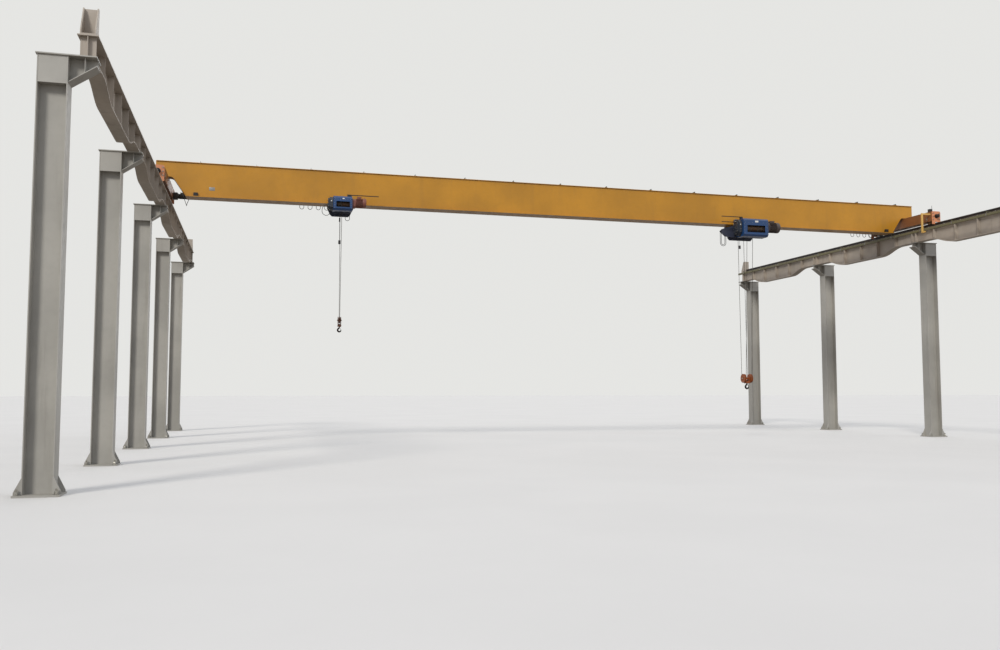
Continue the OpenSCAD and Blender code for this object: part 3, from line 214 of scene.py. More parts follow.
def painted(name, rgb, rough=0.42, dust=0.35, streaks=0.25, chips=0.0, under=0.12, coat=0.0):
    """Brushed or sprayed paint with uneven tone, dust on top, grime streaks and chips, and painted
    shade on faces that look down.
    """
    m = Nodes(name)
    tone = m.ramp(m.noise(0.45, detail=4), 0.35, 0.68)
    colour = m.mix(tone, shade(rgb, 0.93), shade(rgb, 1.04))
    colour = m.mix(m.ramp(m.noise(9.0, detail=2), 0.4, 0.75, 0.0, 0.10), colour, shade(rgb, 0.80))
    run = m.ramp(m.noise(1.0, (4.0, 4.0, 0.35), detail=5, rough=0.65), 0.52, 0.80, 0.0, streaks)
    colour = m.mix(run, colour, [0.33, 0.28, 0.22])
    z = m.facing()
    # Painted shade: faces that look down are darkened towards dark brown, as far as the share under
    low = m.ramp(z, -0.9, -0.2, under, 0.0)
    colour = m.mix(low, colour, [0.20, 0.16, 0.13])
    settled = m.math("MULTIPLY", m.ramp(z, 0.35, 0.95, 0.0, dust),
                     m.ramp(m.noise(2.2, detail=5), 0.30, 0.70, 0.35, 1.0))
    colour = m.mix(settled, colour, [0.56, 0.51, 0.44])
    rough_out = m.ramp(m.noise(6.0, detail=4), 0.3, 0.7, rough - 0.06, rough + 0.10)
    rough_out = m.math("ADD", rough_out, m.math("MULTIPLY", settled, 0.5))
    height = m.noise(220.0, detail=2)
    if chips:
        chip = m.ramp(m.noise(11.0, detail=9, rough=0.72), 0.735 - 0.10 * chips,
                      0.75 - 0.10 * chips)
        colour = m.mix(chip, colour, [0.30, 0.17, 0.12])
        rough_out = m.math("MAXIMUM", rough_out, m.math("MULTIPLY", chip, 0.8))
    m.bump(height, 0.12, 0.0006)
    return m.done(colour, rough_out, coat=coat)


def bare(name, rgb, rough, rust, metal):
    """Bare or worn steel with spots of rust and a fine grain."""
    m = Nodes(name)
    grain = m.noise(60.0, detail=5, rough=0.7)
    colour = m.mix(m.ramp(grain, 0.3, 0.7), shade(rgb, 0.82), shade(rgb, 1.12))
    spots = m.ramp(m.noise(5.0, detail=7, rough=0.7), 0.52, 0.68, 0.0, rust)
    colour = m.mix(spots, colour, [0.34, 0.17, 0.09])
    rough_out = m.math("ADD", m.ramp(grain, 0.3, 0.7, rough - 0.08, rough + 0.10),
                       m.math("MULTIPLY", spots, 0.9))
    m.bump(grain, 0.18, 0.0008)
    return m.done(colour, rough_out, metal=metal)


def rail_material(name):
    """Rolled rail: brown flanks, a running surface that the wheels have polished."""
    m = Nodes(name)
    skin = m.mix(m.ramp(m.noise(7.0, (1, 0.2, 1), detail=6), 0.3, 0.7),
                 [0.13, 0.12, 0.13], [0.25, 0.21, 0.19])
    top = m.ramp(m.facing(), 0.86, 0.98)
    high = m.add("ShaderNodeSeparateXYZ")
    m.link(m.where, high.inputs[0])
    head = m.ramp(high.outputs["Z"], RAIL_TOP - 0.012, RAIL_TOP - 0.004)
    worn = m.math("MULTIPLY", top, head)
    scratch = m.noise(40.0, (1, 0.03, 1), detail=4)
    bright = m.mix(m.ramp(scratch, 0.3, 0.7), [0.50, 0.49, 0.47], [0.68, 0.67, 0.65])
    colour = m.mix(worn, skin, bright)
    rough = m.mix(worn, [0.78] * 3, [0.30] * 3)
    m.bump(m.noise(90.0, detail=4), 0.2, 0.001)
    m.link(worn, m.bsdf.inputs["Metallic"])
    m.put(m.bsdf.inputs["Base Color"], colour)
    m.link(rough, m.bsdf.inputs["Roughness"])
    return m.mat


def soft_black(name, rgb, rough):
    """Moulded rubber or cable sheath, with a little bloom and dust."""
    m = Nodes(name)
    colour = m.mix(m.ramp(m.noise(14.0, detail=5), 0.4, 0.75), list(rgb), shade(rgb, 1.9))
    settled = m.ramp(m.facing(), 0.4, 0.95, 0.0, 0.35)
    colour = m.mix(settled, colour, [0.36, 0.33, 0.29])
    m.bump(m.noise(300.0, detail=3), 0.15, 0.0004)
    return m.done(colour, m.ramp(m.noise(20.0), 0.3, 0.7, rough - 0.1, rough + 0.1))


def greased(name):
    """Hoisting rope: drawn wire dulled by brown grease."""
    m = Nodes(name)
    film = m.ramp(m.noise(18.0, (1, 1, 0.4), detail=6), 0.38, 0.66)
    colour = m.mix(film, [0.42, 0.40, 0.37], [0.17, 0.13, 0.10])
    m.bump(m.noise(500.0, detail=2), 0.25, 0.0004)
    return m.done(colour, m.ramp(film, 0.0, 1.0, 0.62, 0.38), metal=0.55)


def concrete(name, rgb, bounce):
    """Pale floor for the eye, darker for the light that it throws back up."""
    m = Nodes(name)
    cloud = m.ramp(m.noise(0.25, detail=6), 0.3, 0.7)
    seen = m.add("ShaderNodeLightPath").outputs["Is Camera Ray"]
    m.bump(m.noise(35.0, detail=6), 0.08, 0.002)
    return m.done(m.mix(seen, bounce, m.mix(cloud, shade(rgb, 0.985), rgb)), 0.85)


# Colour, roughness, dust, streaks, chips, painted shade below, coat
PAINTS = {
    "steelwork": ([0.66, 0.65, 0.62], 0.50, 0.25, 0.30, 0.1, 0.30),
    "beam_paint": ([0.69, 0.65, 0.60], 0.52, 0.30, 0.40, 0.2, 0.25),
    "conductor": ([0.42, 0.40, 0.29], 0.55, 0.30, 0.20),
    "girder_yellow": ([0.74, 0.52, 0.11], 0.38, 0.30, 0.12, 0.0, 0.60, 0.12),
    "primer": ([0.40, 0.20, 0.15], 0.65, 0.2, 0.2, 0.4),
    "truck_paint": ([0.50, 0.32, 0.19], 0.46, 0.40, 0.35, 0.5, 0.30),
    "end_plate_red": ([0.82, 0.54, 0.38], 0.44, 0.25, 0.30, 0.5, 0.25),
    "dark_motor": ([0.17, 0.17, 0.18], 0.46, 0.35, 0.10, 0.2),
    "arm_yellow": ([0.84, 0.68, 0.38], 0.45, 0.25, 0.20, 0.3),
    "black_steel": ([0.09, 0.09, 0.10], 0.48, 0.35, 0.05, 0.3),
    "frame_navy": ([0.19, 0.21, 0.28], 0.46, 0.30, 0.15, 0.3),
    "hoist_blue": ([0.09, 0.25, 0.44], 0.36, 0.22, 0.10, 0.25, 0.12, 0.2),
    "gear_dark": ([0.12, 0.15, 0.20], 0.42, 0.35, 0.10, 0.3, 0.12, 0.15),
    "motor_red": ([0.51, 0.31, 0.26], 0.46, 0.35, 0.15, 0.3),
    "block_orange": ([0.58, 0.30, 0.13], 0.46, 0.30, 0.30, 0.7),
    "block_dark": ([0.38, 0.20, 0.11], 0.50, 0.30, 0.35, 0.8),
    "pale_enamel": ([0.88, 0.88, 0.86], 0.35, 0.15, 0.10),
    "grey_motor": ([0.30, 0.26, 0.25], 0.46, 0.35, 0.15, 0.3),
}
# Colour, roughness, rust, metal
STEELS = {
    "galvanised": ([0.56, 0.56, 0.55], 0.42, 0.08, 0.6),
    "wheel_steel": ([0.50, 0.48, 0.46], 0.34, 0.35, 0.9),
    "drum_steel": ([0.34, 0.26, 0.20], 0.48, 0.6, 0.6),
    "hook_black": ([0.13, 0.12, 0.12], 0.45, 0.35, 0.6),
    "zinc_bolts": ([0.62, 0.61, 0.58], 0.36, 0.30, 0.85),
}
MATS = {name: painted(name, *look) for name, look in PAINTS.items()}
MATS.update((name, bare(name, *look)) for name, look in STEELS.items())
MATS["rail_steel"] = rail_material("rail_steel")
MATS["rope_steel"] = greased("rope_steel")
MATS["rubber"] = soft_black("rubber", (0.06, 0.06, 0.06), 0.7)
MATS["cable_rubber"] = soft_black("cable_rubber", (0.035, 0.035, 0.04), 0.6)
ZINC, PALE, GREY_MOTOR = (MATS[name] for name in ("zinc_bolts", "pale_enamel", "grey_motor"))

for row in frame["record"]["subparts"]:
    data = frame["nodes"][row["node"]].data
    data.materials.clear()
    data.materials.append(MATS[row["material_slot"]])


def circle(centre, u, v, radius, sides, turn=0.0):
    """Points round a centre, in the plane of the unit vectors u and v."""
    return [centre + (u * math.cos(a) + v * math.sin(a)) * radius
            for a in (turn + 2 * math.pi * j / sides for j in range(sides))]


class Solid:
    """Collects shapes in one mesh, then turns them into one piece that rides on a body."""

    def __init__(self):
        self.bm = bmesh.new()

    def quad_strip(self, rings, closed=True, caps=True):
        rows = [[self.bm.verts.new(p) for p in ring] for ring in rings]
        n = len(rows[0])
        for a, b in zip(rows, rows[1:]):
            for j in range(n if closed else n - 1):
                k = (j + 1) % n
                self.bm.faces.new((a[j], a[k], b[k], b[j]))
        if caps:
            self.bm.faces.new(list(reversed(rows[0])))
            self.bm.faces.new(rows[-1])
        return rows

    def soften(self, verts, bevel):
        """Rounds every edge that meets one of these vertices."""
        edges = list({e for v in verts for e in v.link_edges})
        bmesh.ops.bevel(self.bm, geom=edges, offset=bevel, segments=2, affect="EDGES", profile=0.6)

    def box(self, lo, hi, bevel=0.0):
        made = bmesh.ops.create_cube(self.bm, size=1.0)
        size = Vector(hi) - Vector(lo)
        middle = (Vector(hi) + Vector(lo)) / 2
        for v in made["verts"]:
            v.co = Vector((v.co.x * size.x, v.co.y * size.y, v.co.z * size.z)) + middle
        if bevel:
            self.soften(made["verts"], bevel)

    def prism(self, outline, to_world, bevel=0.0):
        """outline is a list of (u, v); to_world(u, v, t) places it at t = 0 and t = 1."""
        rings = [[to_world(u, v, t) for u, v in outline] for t in (0.0, 1.0)]
        rows = self.quad_strip(rings)
        if bevel:
            self.soften(rows[0] + rows[1], bevel)

    def lathe(self, origin, axis, profile, sides=24, turn=0.0):
        """profile is a list of (distance along the axis, radius)."""
        w = Vector(axis).normalized()
        u = w.orthogonal().normalized()
        v = w.cross(u)
        o = Vector(origin)
        self.quad_strip([circle(o + w * s, u, v, max(r, 1e-5), sides, turn) for s, r in profile])

    def tube(self, points, radius, sides=8):
        pts = [Vector(p) for p in points]
        radii = radius if isinstance(radius, (list, tuple)) else [radius] * len(pts)
        up = None
        rings = []
        for i, p in enumerate(pts):
            d = (pts[min(i + 1, len(pts) - 1)] - pts[max(i - 1, 0)]).normalized()
            up = d.orthogonal() if up is None else up - d * up.dot(d)
            up.normalize()
            rings.append(circle(p, up, d.cross(up), radii[i], sides))
        self.quad_strip(rings)

    def bolt(self, at, axis, across, head=0.6, washer=True, stub=0.0):
        """Hexagon bolt head or nut with a washer, seated at a point and facing along axis."""
        w = Vector(axis).normalized()
        at = Vector(at)
        r = across / 2 / math.cos(math.pi / 6)
        start = 0.0
        if washer:
            start = across * 0.14
            self.lathe(at, w, [(-0.002, r * 1.15), (start, r * 1.15)], 14)
        h = across * head
        turn = random.uniform(0, math.pi / 3)
        self.lathe(at + w * start, w, [(0, r), (h * 0.82, r), (h, r * 0.86)], 6, turn)
        if stub:
            self.lathe(at + w * (start + h), w,
                       [(-0.001, across * 0.30), (stub - 0.003, across * 0.30),
                        (stub, across * 0.24)], 10)

    def bolt_ring(self, centre, radius, n, across, facing, offset=0.0, **more):
        """n bolts on a circle in the yz plane, all facing one way along x."""
        x, y, z = centre
        for k in range(n):
            a = math.pi * (2 * k / n + offset)
            self.bolt((x, y + radius * math.cos(a), z + radius * math.sin(a)), (facing, 0, 0),
                      across, **more)

    def weld(self, points, leg):
        """A weld bead along a line, with the uneven ripple of hand welding."""
        pts = [Vector(p) for p in points]
        fine = []
        for a, b in zip(pts, pts[1:]):
            n = max(1, int((b - a).length / 0.25))
            fine += [a + (b - a) * i / n for i in range(n)]
        fine.append(pts[-1])
        self.tube(fine, [leg * (0.9 + 0.2 * random.random()) for _ in fine], 6)

    def piece(self, name, body, slot, material=None, angle=32.0):
        mesh = bpy.data.meshes.new(name)
        bmesh.ops.recalc_face_normals(self.bm, faces=self.bm.faces)
        self.bm.to_mesh(mesh)
        self.bm.free()
        for face in mesh.polygons:
            face.use_smooth = True
        mesh.set_sharp_from_angle(angle=math.radians(angle))
        obj = bpy.data.objects.new(name, mesh)
        bpy.context.scene.collection.objects.link(obj)
        mesh.materials.append(material or MATS[slot])
        if body:
            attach(obj, body)
        return obj


# The camera stands where the photographer stood
camera = bpy.data.objects.new("camera", bpy.data.cameras.new("camera"))
bpy.context.scene.collection.objects.link(camera)
camera.location = (-10.057, -27.533, 1.597)
camera.rotation_euler = (math.radians(94.148), 0.0, math.radians(-14.977))
camera.data.lens = 32.94
camera.data.sensor_width = 36.0
camera.data.clip_end = 500.0
bpy.context.scene.camera = camera


def stranded_rope(a, b, strands=6, lay=6.5, per_lay=7):
    """Twisted strands along the straight line from a to b; lay is in rope diameters."""
    a, b = Vector(a), Vector(b)
    w = (b - a).normalized()
    u = w.orthogonal().normalized()
    v = w.cross(u)
    length = (b - a).length
    steps = int(length / (lay * ROPE_D) * per_lay)
    s = Solid()
    thin = ROPE_D / 6.2
    for k in range(strands):
        rings = []
        for i in range(steps + 1):
            turn = 2 * math.pi * (i / per_lay + k / strands)
            out = u * math.cos(turn) + v * math.sin(turn)
            rings.append(circle(a + w * (length * i / steps) + out * (ROPE_D / 2 - thin),
                                u, v, thin, 5))
        s.quad_strip(rings)
    return s


def line(a, b, n):
    a, b = Vector(a), Vector(b)
    return [a + (b - a) * i / n for i in range(n + 1)]


def hoist_ropes(sn, h):
    """Falls of rope from the drum and from the frame's anchor down to the hook block."""
    ropes = []
    for i, dx in enumerate(h["falls"]):
        x = h["x"] + dx
        drum_side = (x, h["y"] + h["drum"] + ROPE_D / 2 + FIT, h["dz"])
        anchor = (x, BY + CHEEK_IN - 0.06, GZ - 0.19)
        for end, kind, top in ((-1, "drum", drum_side), (1, "fixed", anchor)):
            foot = (x, BY + end * (h["sheave"] - ROPE_D / 2 + FIT), h["z"])
            rope = stranded_rope(top, foot).piece(f"{sn}_rope_{kind}_{i + 1}", None, "rope_steel")
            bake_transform(rope)
            ropes.append(rope)
    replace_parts(ropes[0], sn + "_ropes")


def cable(name, points, body, blend_to=None):
    """A round cable along its points."""
    s = Solid()
    s.tube(points, CABLE_D / 2, 10)
    obj = s.piece(name, None if blend_to else body, "cable_rubber", angle=60)
    if blend_to:
        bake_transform(obj)
    return obj


def saddle_arc(a, steps=8):
    """The cable's bend over a saddle, from its top down to the angle a."""
    return [(BEND_R * math.sin(a * i / steps), BEND_R * (math.cos(a * i / steps) - 1))
            for i in range(steps + 1)]


def wide_length(pitch, a):
    """Length of a wide loop that leaves its saddles at the angle a."""
    c = pitch / 2 - BEND_R * math.sin(a)
    t = math.tan(a)
    return 2 * BEND_R * a + c * (math.hypot(1, t) + math.asinh(t) / t)


def wide_loop(pitch, steps=24):
    """Loop that leaves its saddles at an angle and hangs in a parabola between them."""
    low, high = math.radians(5), math.radians(89)
    for _ in range(24):
        a = (low + high) / 2
        if wide_length(pitch, a) < LOOP_L:
            low = a
        else:
            high = a
    arc = saddle_arc(a)
    c = pitch / 2 - BEND_R * math.sin(a)
    sag = []
    for i in range(1, steps):
        u = c * (2 * i / steps - 1)
        sag.append((pitch / 2 + u, arc[-1][1] - math.tan(a) * (c * c - u * u) / (2 * c)))
    return arc + sag + [(pitch - x, z) for x, z in reversed(arc[1:])]


def narrow_loop(steps=16):
    """Loop whose two legs hang straight down from neighbouring saddles."""
    arc = saddle_arc(math.pi / 2)
    leg = LOOP_L / 2 - math.pi * BEND_R
    bow = [(BEND_R * (2 - math.cos(math.pi * i / steps)),
            -BEND_R - leg - BEND_R * math.sin(math.pi * i / steps)) for i in range(steps + 1)]
    down = [(BEND_R, -BEND_R - leg * i / 6) for i in range(1, 6)]
    up = [(3 * BEND_R, z) for _, z in reversed(down)]
    return arc + down + bow + up + [(4 * BEND_R - x, z) for x, z in reversed(arc[1:])]


def carrier(s, x):
    """Saddle under the cable, on a hanger whose two rollers run in the track."""
    z = CABLE_Z - BEND_R
    r = BEND_R - CABLE_D / 2
    arc = [(r * math.cos(math.pi * i / 14), r * math.sin(math.pi * i / 14)) for i in range(15)]
    for y0, y1, grow in ((-0.009, 0.009, 0.0), (-0.0125, -0.009, 0.010), (0.009, 0.0125, 0.010)):
        k = (r + grow) / r
        s.prism([(u * k, v * k) for u, v in arc],
                lambda u, v, t, y0=y0, y1=y1: (x + u, FEST_Y + (y1 if t else y0), z + v))
    for y in (-0.0155, 0.0125):
        s.box((x - 0.012, FEST_Y + y, z + 0.012), (x + 0.012, FEST_Y + y + 0.003, GT - 0.038))
    for dx in (-0.007, 0.007):
        s.lathe((x + dx, FEST_Y - 0.016, z + 0.025), (0, 1, 0), [(0, 0.004), (0.032, 0.004)], 8)
    s.box((x - 0.020, FEST_Y - 0.0155, GT - 0.046), (x + 0.020, FEST_Y + 0.0155, GT - 0.041),
          0.0015)
    s.lathe((x, FEST_Y - 0.012, GT - 0.022), (0, 1, 0), [(0, 0.010), (0.024, 0.010)], 14)


def festoon(sn, h):
    """Cable in loops under its track: wide ones, then a bunch of narrow ones, on carriers."""
    first, last = sorted((CABLE_ENDS[sn], h["arm_x"]))
    narrow = 4 * BEND_R
    wide_n = math.ceil((last - first - BUNCH_N * narrow) / LOOP_MAX)
    pitch = (last - first - BUNCH_N * narrow) / wide_n
    bunch = first + wide_n * pitch
    route = [(first + i * pitch + x, z) for i in range(wide_n) for x, z in wide_loop(pitch)]
    route += [(bunch + i * narrow + x, z) for i in range(BUNCH_N) for x, z in narrow_loop()]
    points = [(first, FEST_Y, CABLE_Z)]
    for x, z in route + [(last, 0.0)]:
        if (Vector((x, FEST_Y, CABLE_Z + z)) - Vector(points[-1])).length > 1e-4:
            points.append((x, FEST_Y, CABLE_Z + z))
    if sn == "big":
        points.reverse()
    fixed = (CABLE_ENDS[sn], FEST_Y, CABLE_Z)
    towed = (h["arm_x"], FEST_Y, CABLE_Z)
    loops = cable(sn + "_festoon_line", points, "bridge", blend_to=(sn + "_hoist", fixed, towed))
    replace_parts(loops, sn + "_festoon_cable")
    s = Solid()
    for i in range(wide_n):
        carrier(s, first + i * pitch)
    for i in range(BUNCH_N + 1):
        carrier(s, bunch + i * narrow)
    hangers = s.piece(sn + "_festoon_carriers", None, "galvanised")
    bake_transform(hangers)


def bezier_point(p, t):
    return sum(((1 - t) ** (3 - k) * t ** k * (1, 3, 3, 1)[k] * Vector(q)
                for k, q in enumerate(p)), Vector((0, 0, 0)))


def bezier(p, n):
    return [bezier_point(p, i / n) for i in range(n + 1)]


def u_line(x0, x1, y, top0, top1, low, steps=14):
    """Two straight legs joined by a half circle at the bottom."""
    r = (x1 - x0) / 2
    bow = [(x0 + r - r * math.cos(math.pi * i / steps), y,
            low + r - r * math.sin(math.pi * i / steps)) for i in range(steps + 1)]
    return line((x0, y, top0), bow[0], 5)[:-1] + bow + line(bow[-1], (x1, y, top1), 5)[1:]


def small_hoist_cables(h):
    """Loop from the gear case's cover back to its underside, and one under the frame."""
    x, y, z = h["gear_x"], h["y"] + 0.035, h["dz"] - 0.035
    far, back, turn, under = x - 0.18, x + 0.06, z - 0.185, h["dz"] - h["gear_h"]
    bow = [(x - COVER_T, y, z)]
    bow += bezier([(x - COVER_T - 0.02, y, z), (x - 0.12, y, z), (far, y, z - 0.075),
                   (far, y, turn)], 12)
    bow += bezier([(far, y, turn), (far, y, z - 0.355), (back, y, z - 0.375),
                   (back, y, under - 0.025)], 16)[1:]
    bow.append((back, y, under))
    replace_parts(cable("small_gear_cable", bow, "small_hoist"), "small_power_cables")
    cable("small_frame_cable",
          u_line(h["x"] + 0.110, h["x"] + 0.240, BY - CHEEK_IN - 0.008, h["low"], h["low"],
                 h["low"] - 0.22), "small_hoist")


def big_hoist_cables(h):
    """Two loops, one in the other, from the bracket's tip to the frame."""
    tip = h["x"] - h["half"] - BRACKET_L
    y = BY - CHEEK_OUT - CABLE_D / 2 - FIT
    up = GZ - BRACKET_TIP + 0.02
    outer = u_line(tip + 0.02, tip + 0.23, y, up, h["low"] + 0.06, h["low"] - 0.31)
    inner = u_line(tip + 0.06, tip + 0.19, y, up + 0.02, h["low"] + 0.09, h["low"] - 0.27)
    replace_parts(cable("big_outer_cable", outer, "big_hoist"), "big_power_cables")
    cable("big_inner_cable", inner, "big_hoist")


def drive_lead(sn, side):
    """Lead from a travel motor's terminal box, hanging over to the girder's far web.

    It ends in a gland there; low is its lowest point.
    """
    x0 = side * (RAIL_X - TRUCK_W / 2 - BEARING_T - DRIVE_STEM - 0.38 * DRIVE_L)
    start = Vector((x0, BY + WHEELBASE / 2 + side * (0.45 * DRIVE_R + 0.029),
                    AXLE_Z + 0.95 * DRIVE_R))
    end = Vector((side * 11.97, BY + GIRDER_W / 2, 7.50))
    low = Vector(((start.x + end.x) / 2, 1.35, 7.20))
    out = Vector((0, 1, 0))
    swing = out * (0.22 + 0.07 * (side + 1))
    hang = bezier([start, start + out * side * 0.18, low + swing, low], 20)
    rise = bezier([low, low - out * 0.22, end + out * 0.18, end], 16)
    cable(sn + "_drive_lead", hang + rise[1:], "bridge")
    s = Solid()
    s.lathe(end, out, [(-0.001, 0.020), (0.014, 0.020), (0.016, 0.014), (0.034, 0.013),
                       (0.060, 0.0088)], 18)
    s.piece(sn + "_lead_gland", "bridge", "black_steel")


SIDES = (("left", -1), ("right", 1))
for sn, h in HOISTS.items():
    hoist_ropes(sn, h)
for sn, h in HOISTS.items():
    festoon(sn, h)
small_hoist_cables(HOISTS["small"])
big_hoist_cables(HOISTS["big"])
for sn, side in SIDES:
    drive_lead(sn, side)


def belly(s):
    """Depth of a runway beam at a distance s from its end."""
    l = BAY - BEAM_GAP
    t = min(max((min(s, l - s) - HAUNCH_AT) / HAUNCH_L, 0.0), 1.0)
    return BEAM_END_H + BEAM_SWELL * (1 - math.cos(math.pi * t)) / 2


def runway_details(sn, side):
    """Anchor nuts, beam bolts, rail clips and the long welds of the beams."""
    nuts = Solid()
    beads = Solid()
    for i in range(BAYS + 1):
        y = (i - BAYS / 2) * BAY
        for dx in (ANCHOR_IN - BASE_OVER, COL_D + BASE_OVER - ANCHOR_IN):
            for dy in (-1, 1):
                nuts.bolt((side * (COL_IN + dx), y + dy * (COL_W / 2 + ANCHOR_IN), BASE_T),
                          (0, 0, 1), 0.055, 0.8, stub=0.045)
        for dx in (0.0, COL_D):
            x = side * (COL_IN + dx)
            beads.weld([(x, y - COL_W / 2, BASE_T), (x, y + COL_W / 2, BASE_T)], 0.009)
        for dy in (-SEAT_BOLT_Y, SEAT_BOLT_Y):
            if abs(y + dy) < BAYS * BAY / 2:
                for dx in (-SEAT_BOLT_X, SEAT_BOLT_X):
                    nuts.bolt((side * RAIL_X + dx, y + dy, SEAT_Z + SEAT_T), (0, 0, 1), 0.03)
    clips = Solid()
    shape = [(0.058, 0.0), (0.115, 0.0), (0.115, 0.010), (0.078, 0.020), (0.046, 0.022),
             (0.046, 0.0145), (0.058, 0.012)]
    for i in range(CLIPS):
        y = (i - (CLIPS - 1) / 2) * CLIP_PITCH
        for sx in (-1, 1):
            clips.prism(shape, lambda u, v, t, y=y, sx=sx: (side * RAIL_X + sx * u,
                                                            y - 0.035 + 0.07 * t, BEAM_TOP + v))
            nuts.bolt((side * RAIL_X + sx * 0.094, y, BEAM_TOP + 0.014), (0, 0, 1), 0.024)
    for i in range(BAYS):
        y0 = (i - BAYS / 2) * BAY + BEAM_GAP / 2
        steps = [(BAY - BEAM_GAP) * k / 40 for k in range(41)]
        for dx in (-0.006, 0.006):
            x = side * RAIL_X + dx
            beads.weld([(x, y0 + s, BEAM_TOP - belly(s) + 0.014) for s in steps], 0.006)
            beads.weld([(x, y0 + s, BEAM_TOP - 0.018) for s in steps[::4]], 0.006)
    nuts.piece(sn + "_runway_bolts", "runway", "steelwork", ZINC)
    beads.piece(sn + "_runway_welds", "runway", "beam_paint")
    clips.piece(sn + "_rail_clips", "runway", "rail_steel", MATS["beam_paint"])


def conductor_clamps():
    """Two straps and a bolt where each hanger holds the conductor line."""
    s = Solid()
    for i in range(HANGERS):
        y = (i - (HANGERS - 1) / 2) * HANGER_PITCH
        for dx in (-0.032, 0.028):
            s.box((POWER_X + dx, y - 0.02, POWER_Z + 0.01),
                  (POWER_X + dx + 0.004, y + 0.02, POWER_Z + 0.082))
        s.bolt((POWER_X, y, POWER_Z + 0.086), (0, 0, 1), 0.017)
    s.piece("conductor_clamps", "runway", "galvanised")


def girder_welds():
    beads = Solid()
    for face in (-1, 1):
        y = BY + face * GIRDER_W / 2
        beads.weld([(-SLANT_X, y, GZ + TRACK_T), (SLANT_X, y, GZ + TRACK_T)], 0.007)
        beads.weld([(-GIRDER_HALF, y, GT - TOP_T), (GIRDER_HALF, y, GT - TOP_T)], 0.007)
    beads.piece("girder_welds", "bridge", "girder_yellow")


def truck_fittings():
    """Long welds, end plate bolts and bearing covers of both end trucks."""
    beads = Solid()
    bolts = Solid()
    for side in (-1, 1):
        for dx in (-1, 1):
            x = side * RAIL_X + dx * TRUCK_W / 2
            beads.weld([(x, BY - TRUCK_L / 2 + 0.01, TRUCK_TOP - 0.010),
                        (x, BY + TRUCK_L / 2 - 0.01, TRUCK_TOP - 0.010)], 0.005)
        for end in (-1, 1):
            y = BY + end * (TRUCK_L / 2 + END_T)
            for dx in (-END_BOLT_X, END_BOLT_X):
                for z in END_BOLT_Z:
                    bolts.bolt((side * RAIL_X + dx, y, z), (0, end, 0), 0.030)
            for dx in (-1, 1):
                hub = (side * RAIL_X + dx * (TRUCK_W / 2 + BEARING_T),
                       BY + end * WHEELBASE / 2, AXLE_Z)
                bolts.bolt_ring(hub, BEARING_BOLT_R, 6, 0.016, dx, 1 / 6)
                bolts.lathe(hub, (dx, 0, 0), [(-0.001, 0.038), (0.007, 0.038), (0.010, 0.033)], 28)
    beads.piece("truck_welds", "bridge", "truck_paint")
    bolts.piece("bridge_bolts", "bridge", "galvanised", ZINC)


def girder_fittings():
    """Blank plate and plug on the front web, and the rubber pads of the hoist stops."""
    y = BY - GIRDER_W / 2
    plate = Solid()
    x, z, half, tall = -11.384, 7.561, 0.08, 0.05
    plate.box((x - half, y - 0.003, z - tall), (x + half, y, z + tall), 0.001)
    for dx, dz in CORNERS:
        plate.lathe((x + 0.07 * dx, y - 0.0025, z + 0.04 * dz), (0, -1, 0),
                    [(0, 0.004), (0.002, 0.0035), (0.003, 0.0015)], 10)
    plate.piece("girder_bare_plate", "bridge", "galvanised")
    plug = Solid()
    plug.lathe((11.796, y + 0.001, 7.352), (0, -1, 0),
               [(0, 0.034), (0.004, 0.034), (0.006, 0.028)], 24)
    plug.piece("girder_plug", "bridge", "rubber")
    pads = Solid()
    for side in (-1, 1):
        x = side * (SLANT_X - 0.25 - 0.06)
        for dy in (-1, 1):
            pads.lathe((x, BY + dy * (GIRDER_W / 2 + 0.03), GZ + TRACK_T + 0.06), (-side, 0, 0),
                       [(-0.001, 0.026), (0.003, 0.026), (0.0045, 0.020)], 18)
    pads.piece("stop_pads", "bridge", "rubber")


def travel_switch():
    """Limit switch with its lever, on top of the right end truck."""
    s = Solid()
    x, y, z = RAIL_X - 0.10, BY - TRUCK_L / 2 + 0.16, TRUCK_TOP
    s.box((x - 0.05, y - 0.06, z), (x + 0.05, y + 0.06, z + 0.09), 0.006)
    s.box((x - 0.053, y - 0.063, z + 0.088), (x + 0.053, y + 0.063, z + 0.10), 0.003)
    s.lathe((x, y - 0.06, z + 0.05), (0, -1, 0), [(0, 0.014), (0.03, 0.014), (0.034, 0.010)], 16)
    s.tube([(x, y - 0.085, z + 0.05), (x, y - 0.09, z + 0.12), (x, y - 0.09, z + 0.21)], 0.006)
    s.piece("travel_switch", "bridge", "dark_motor")


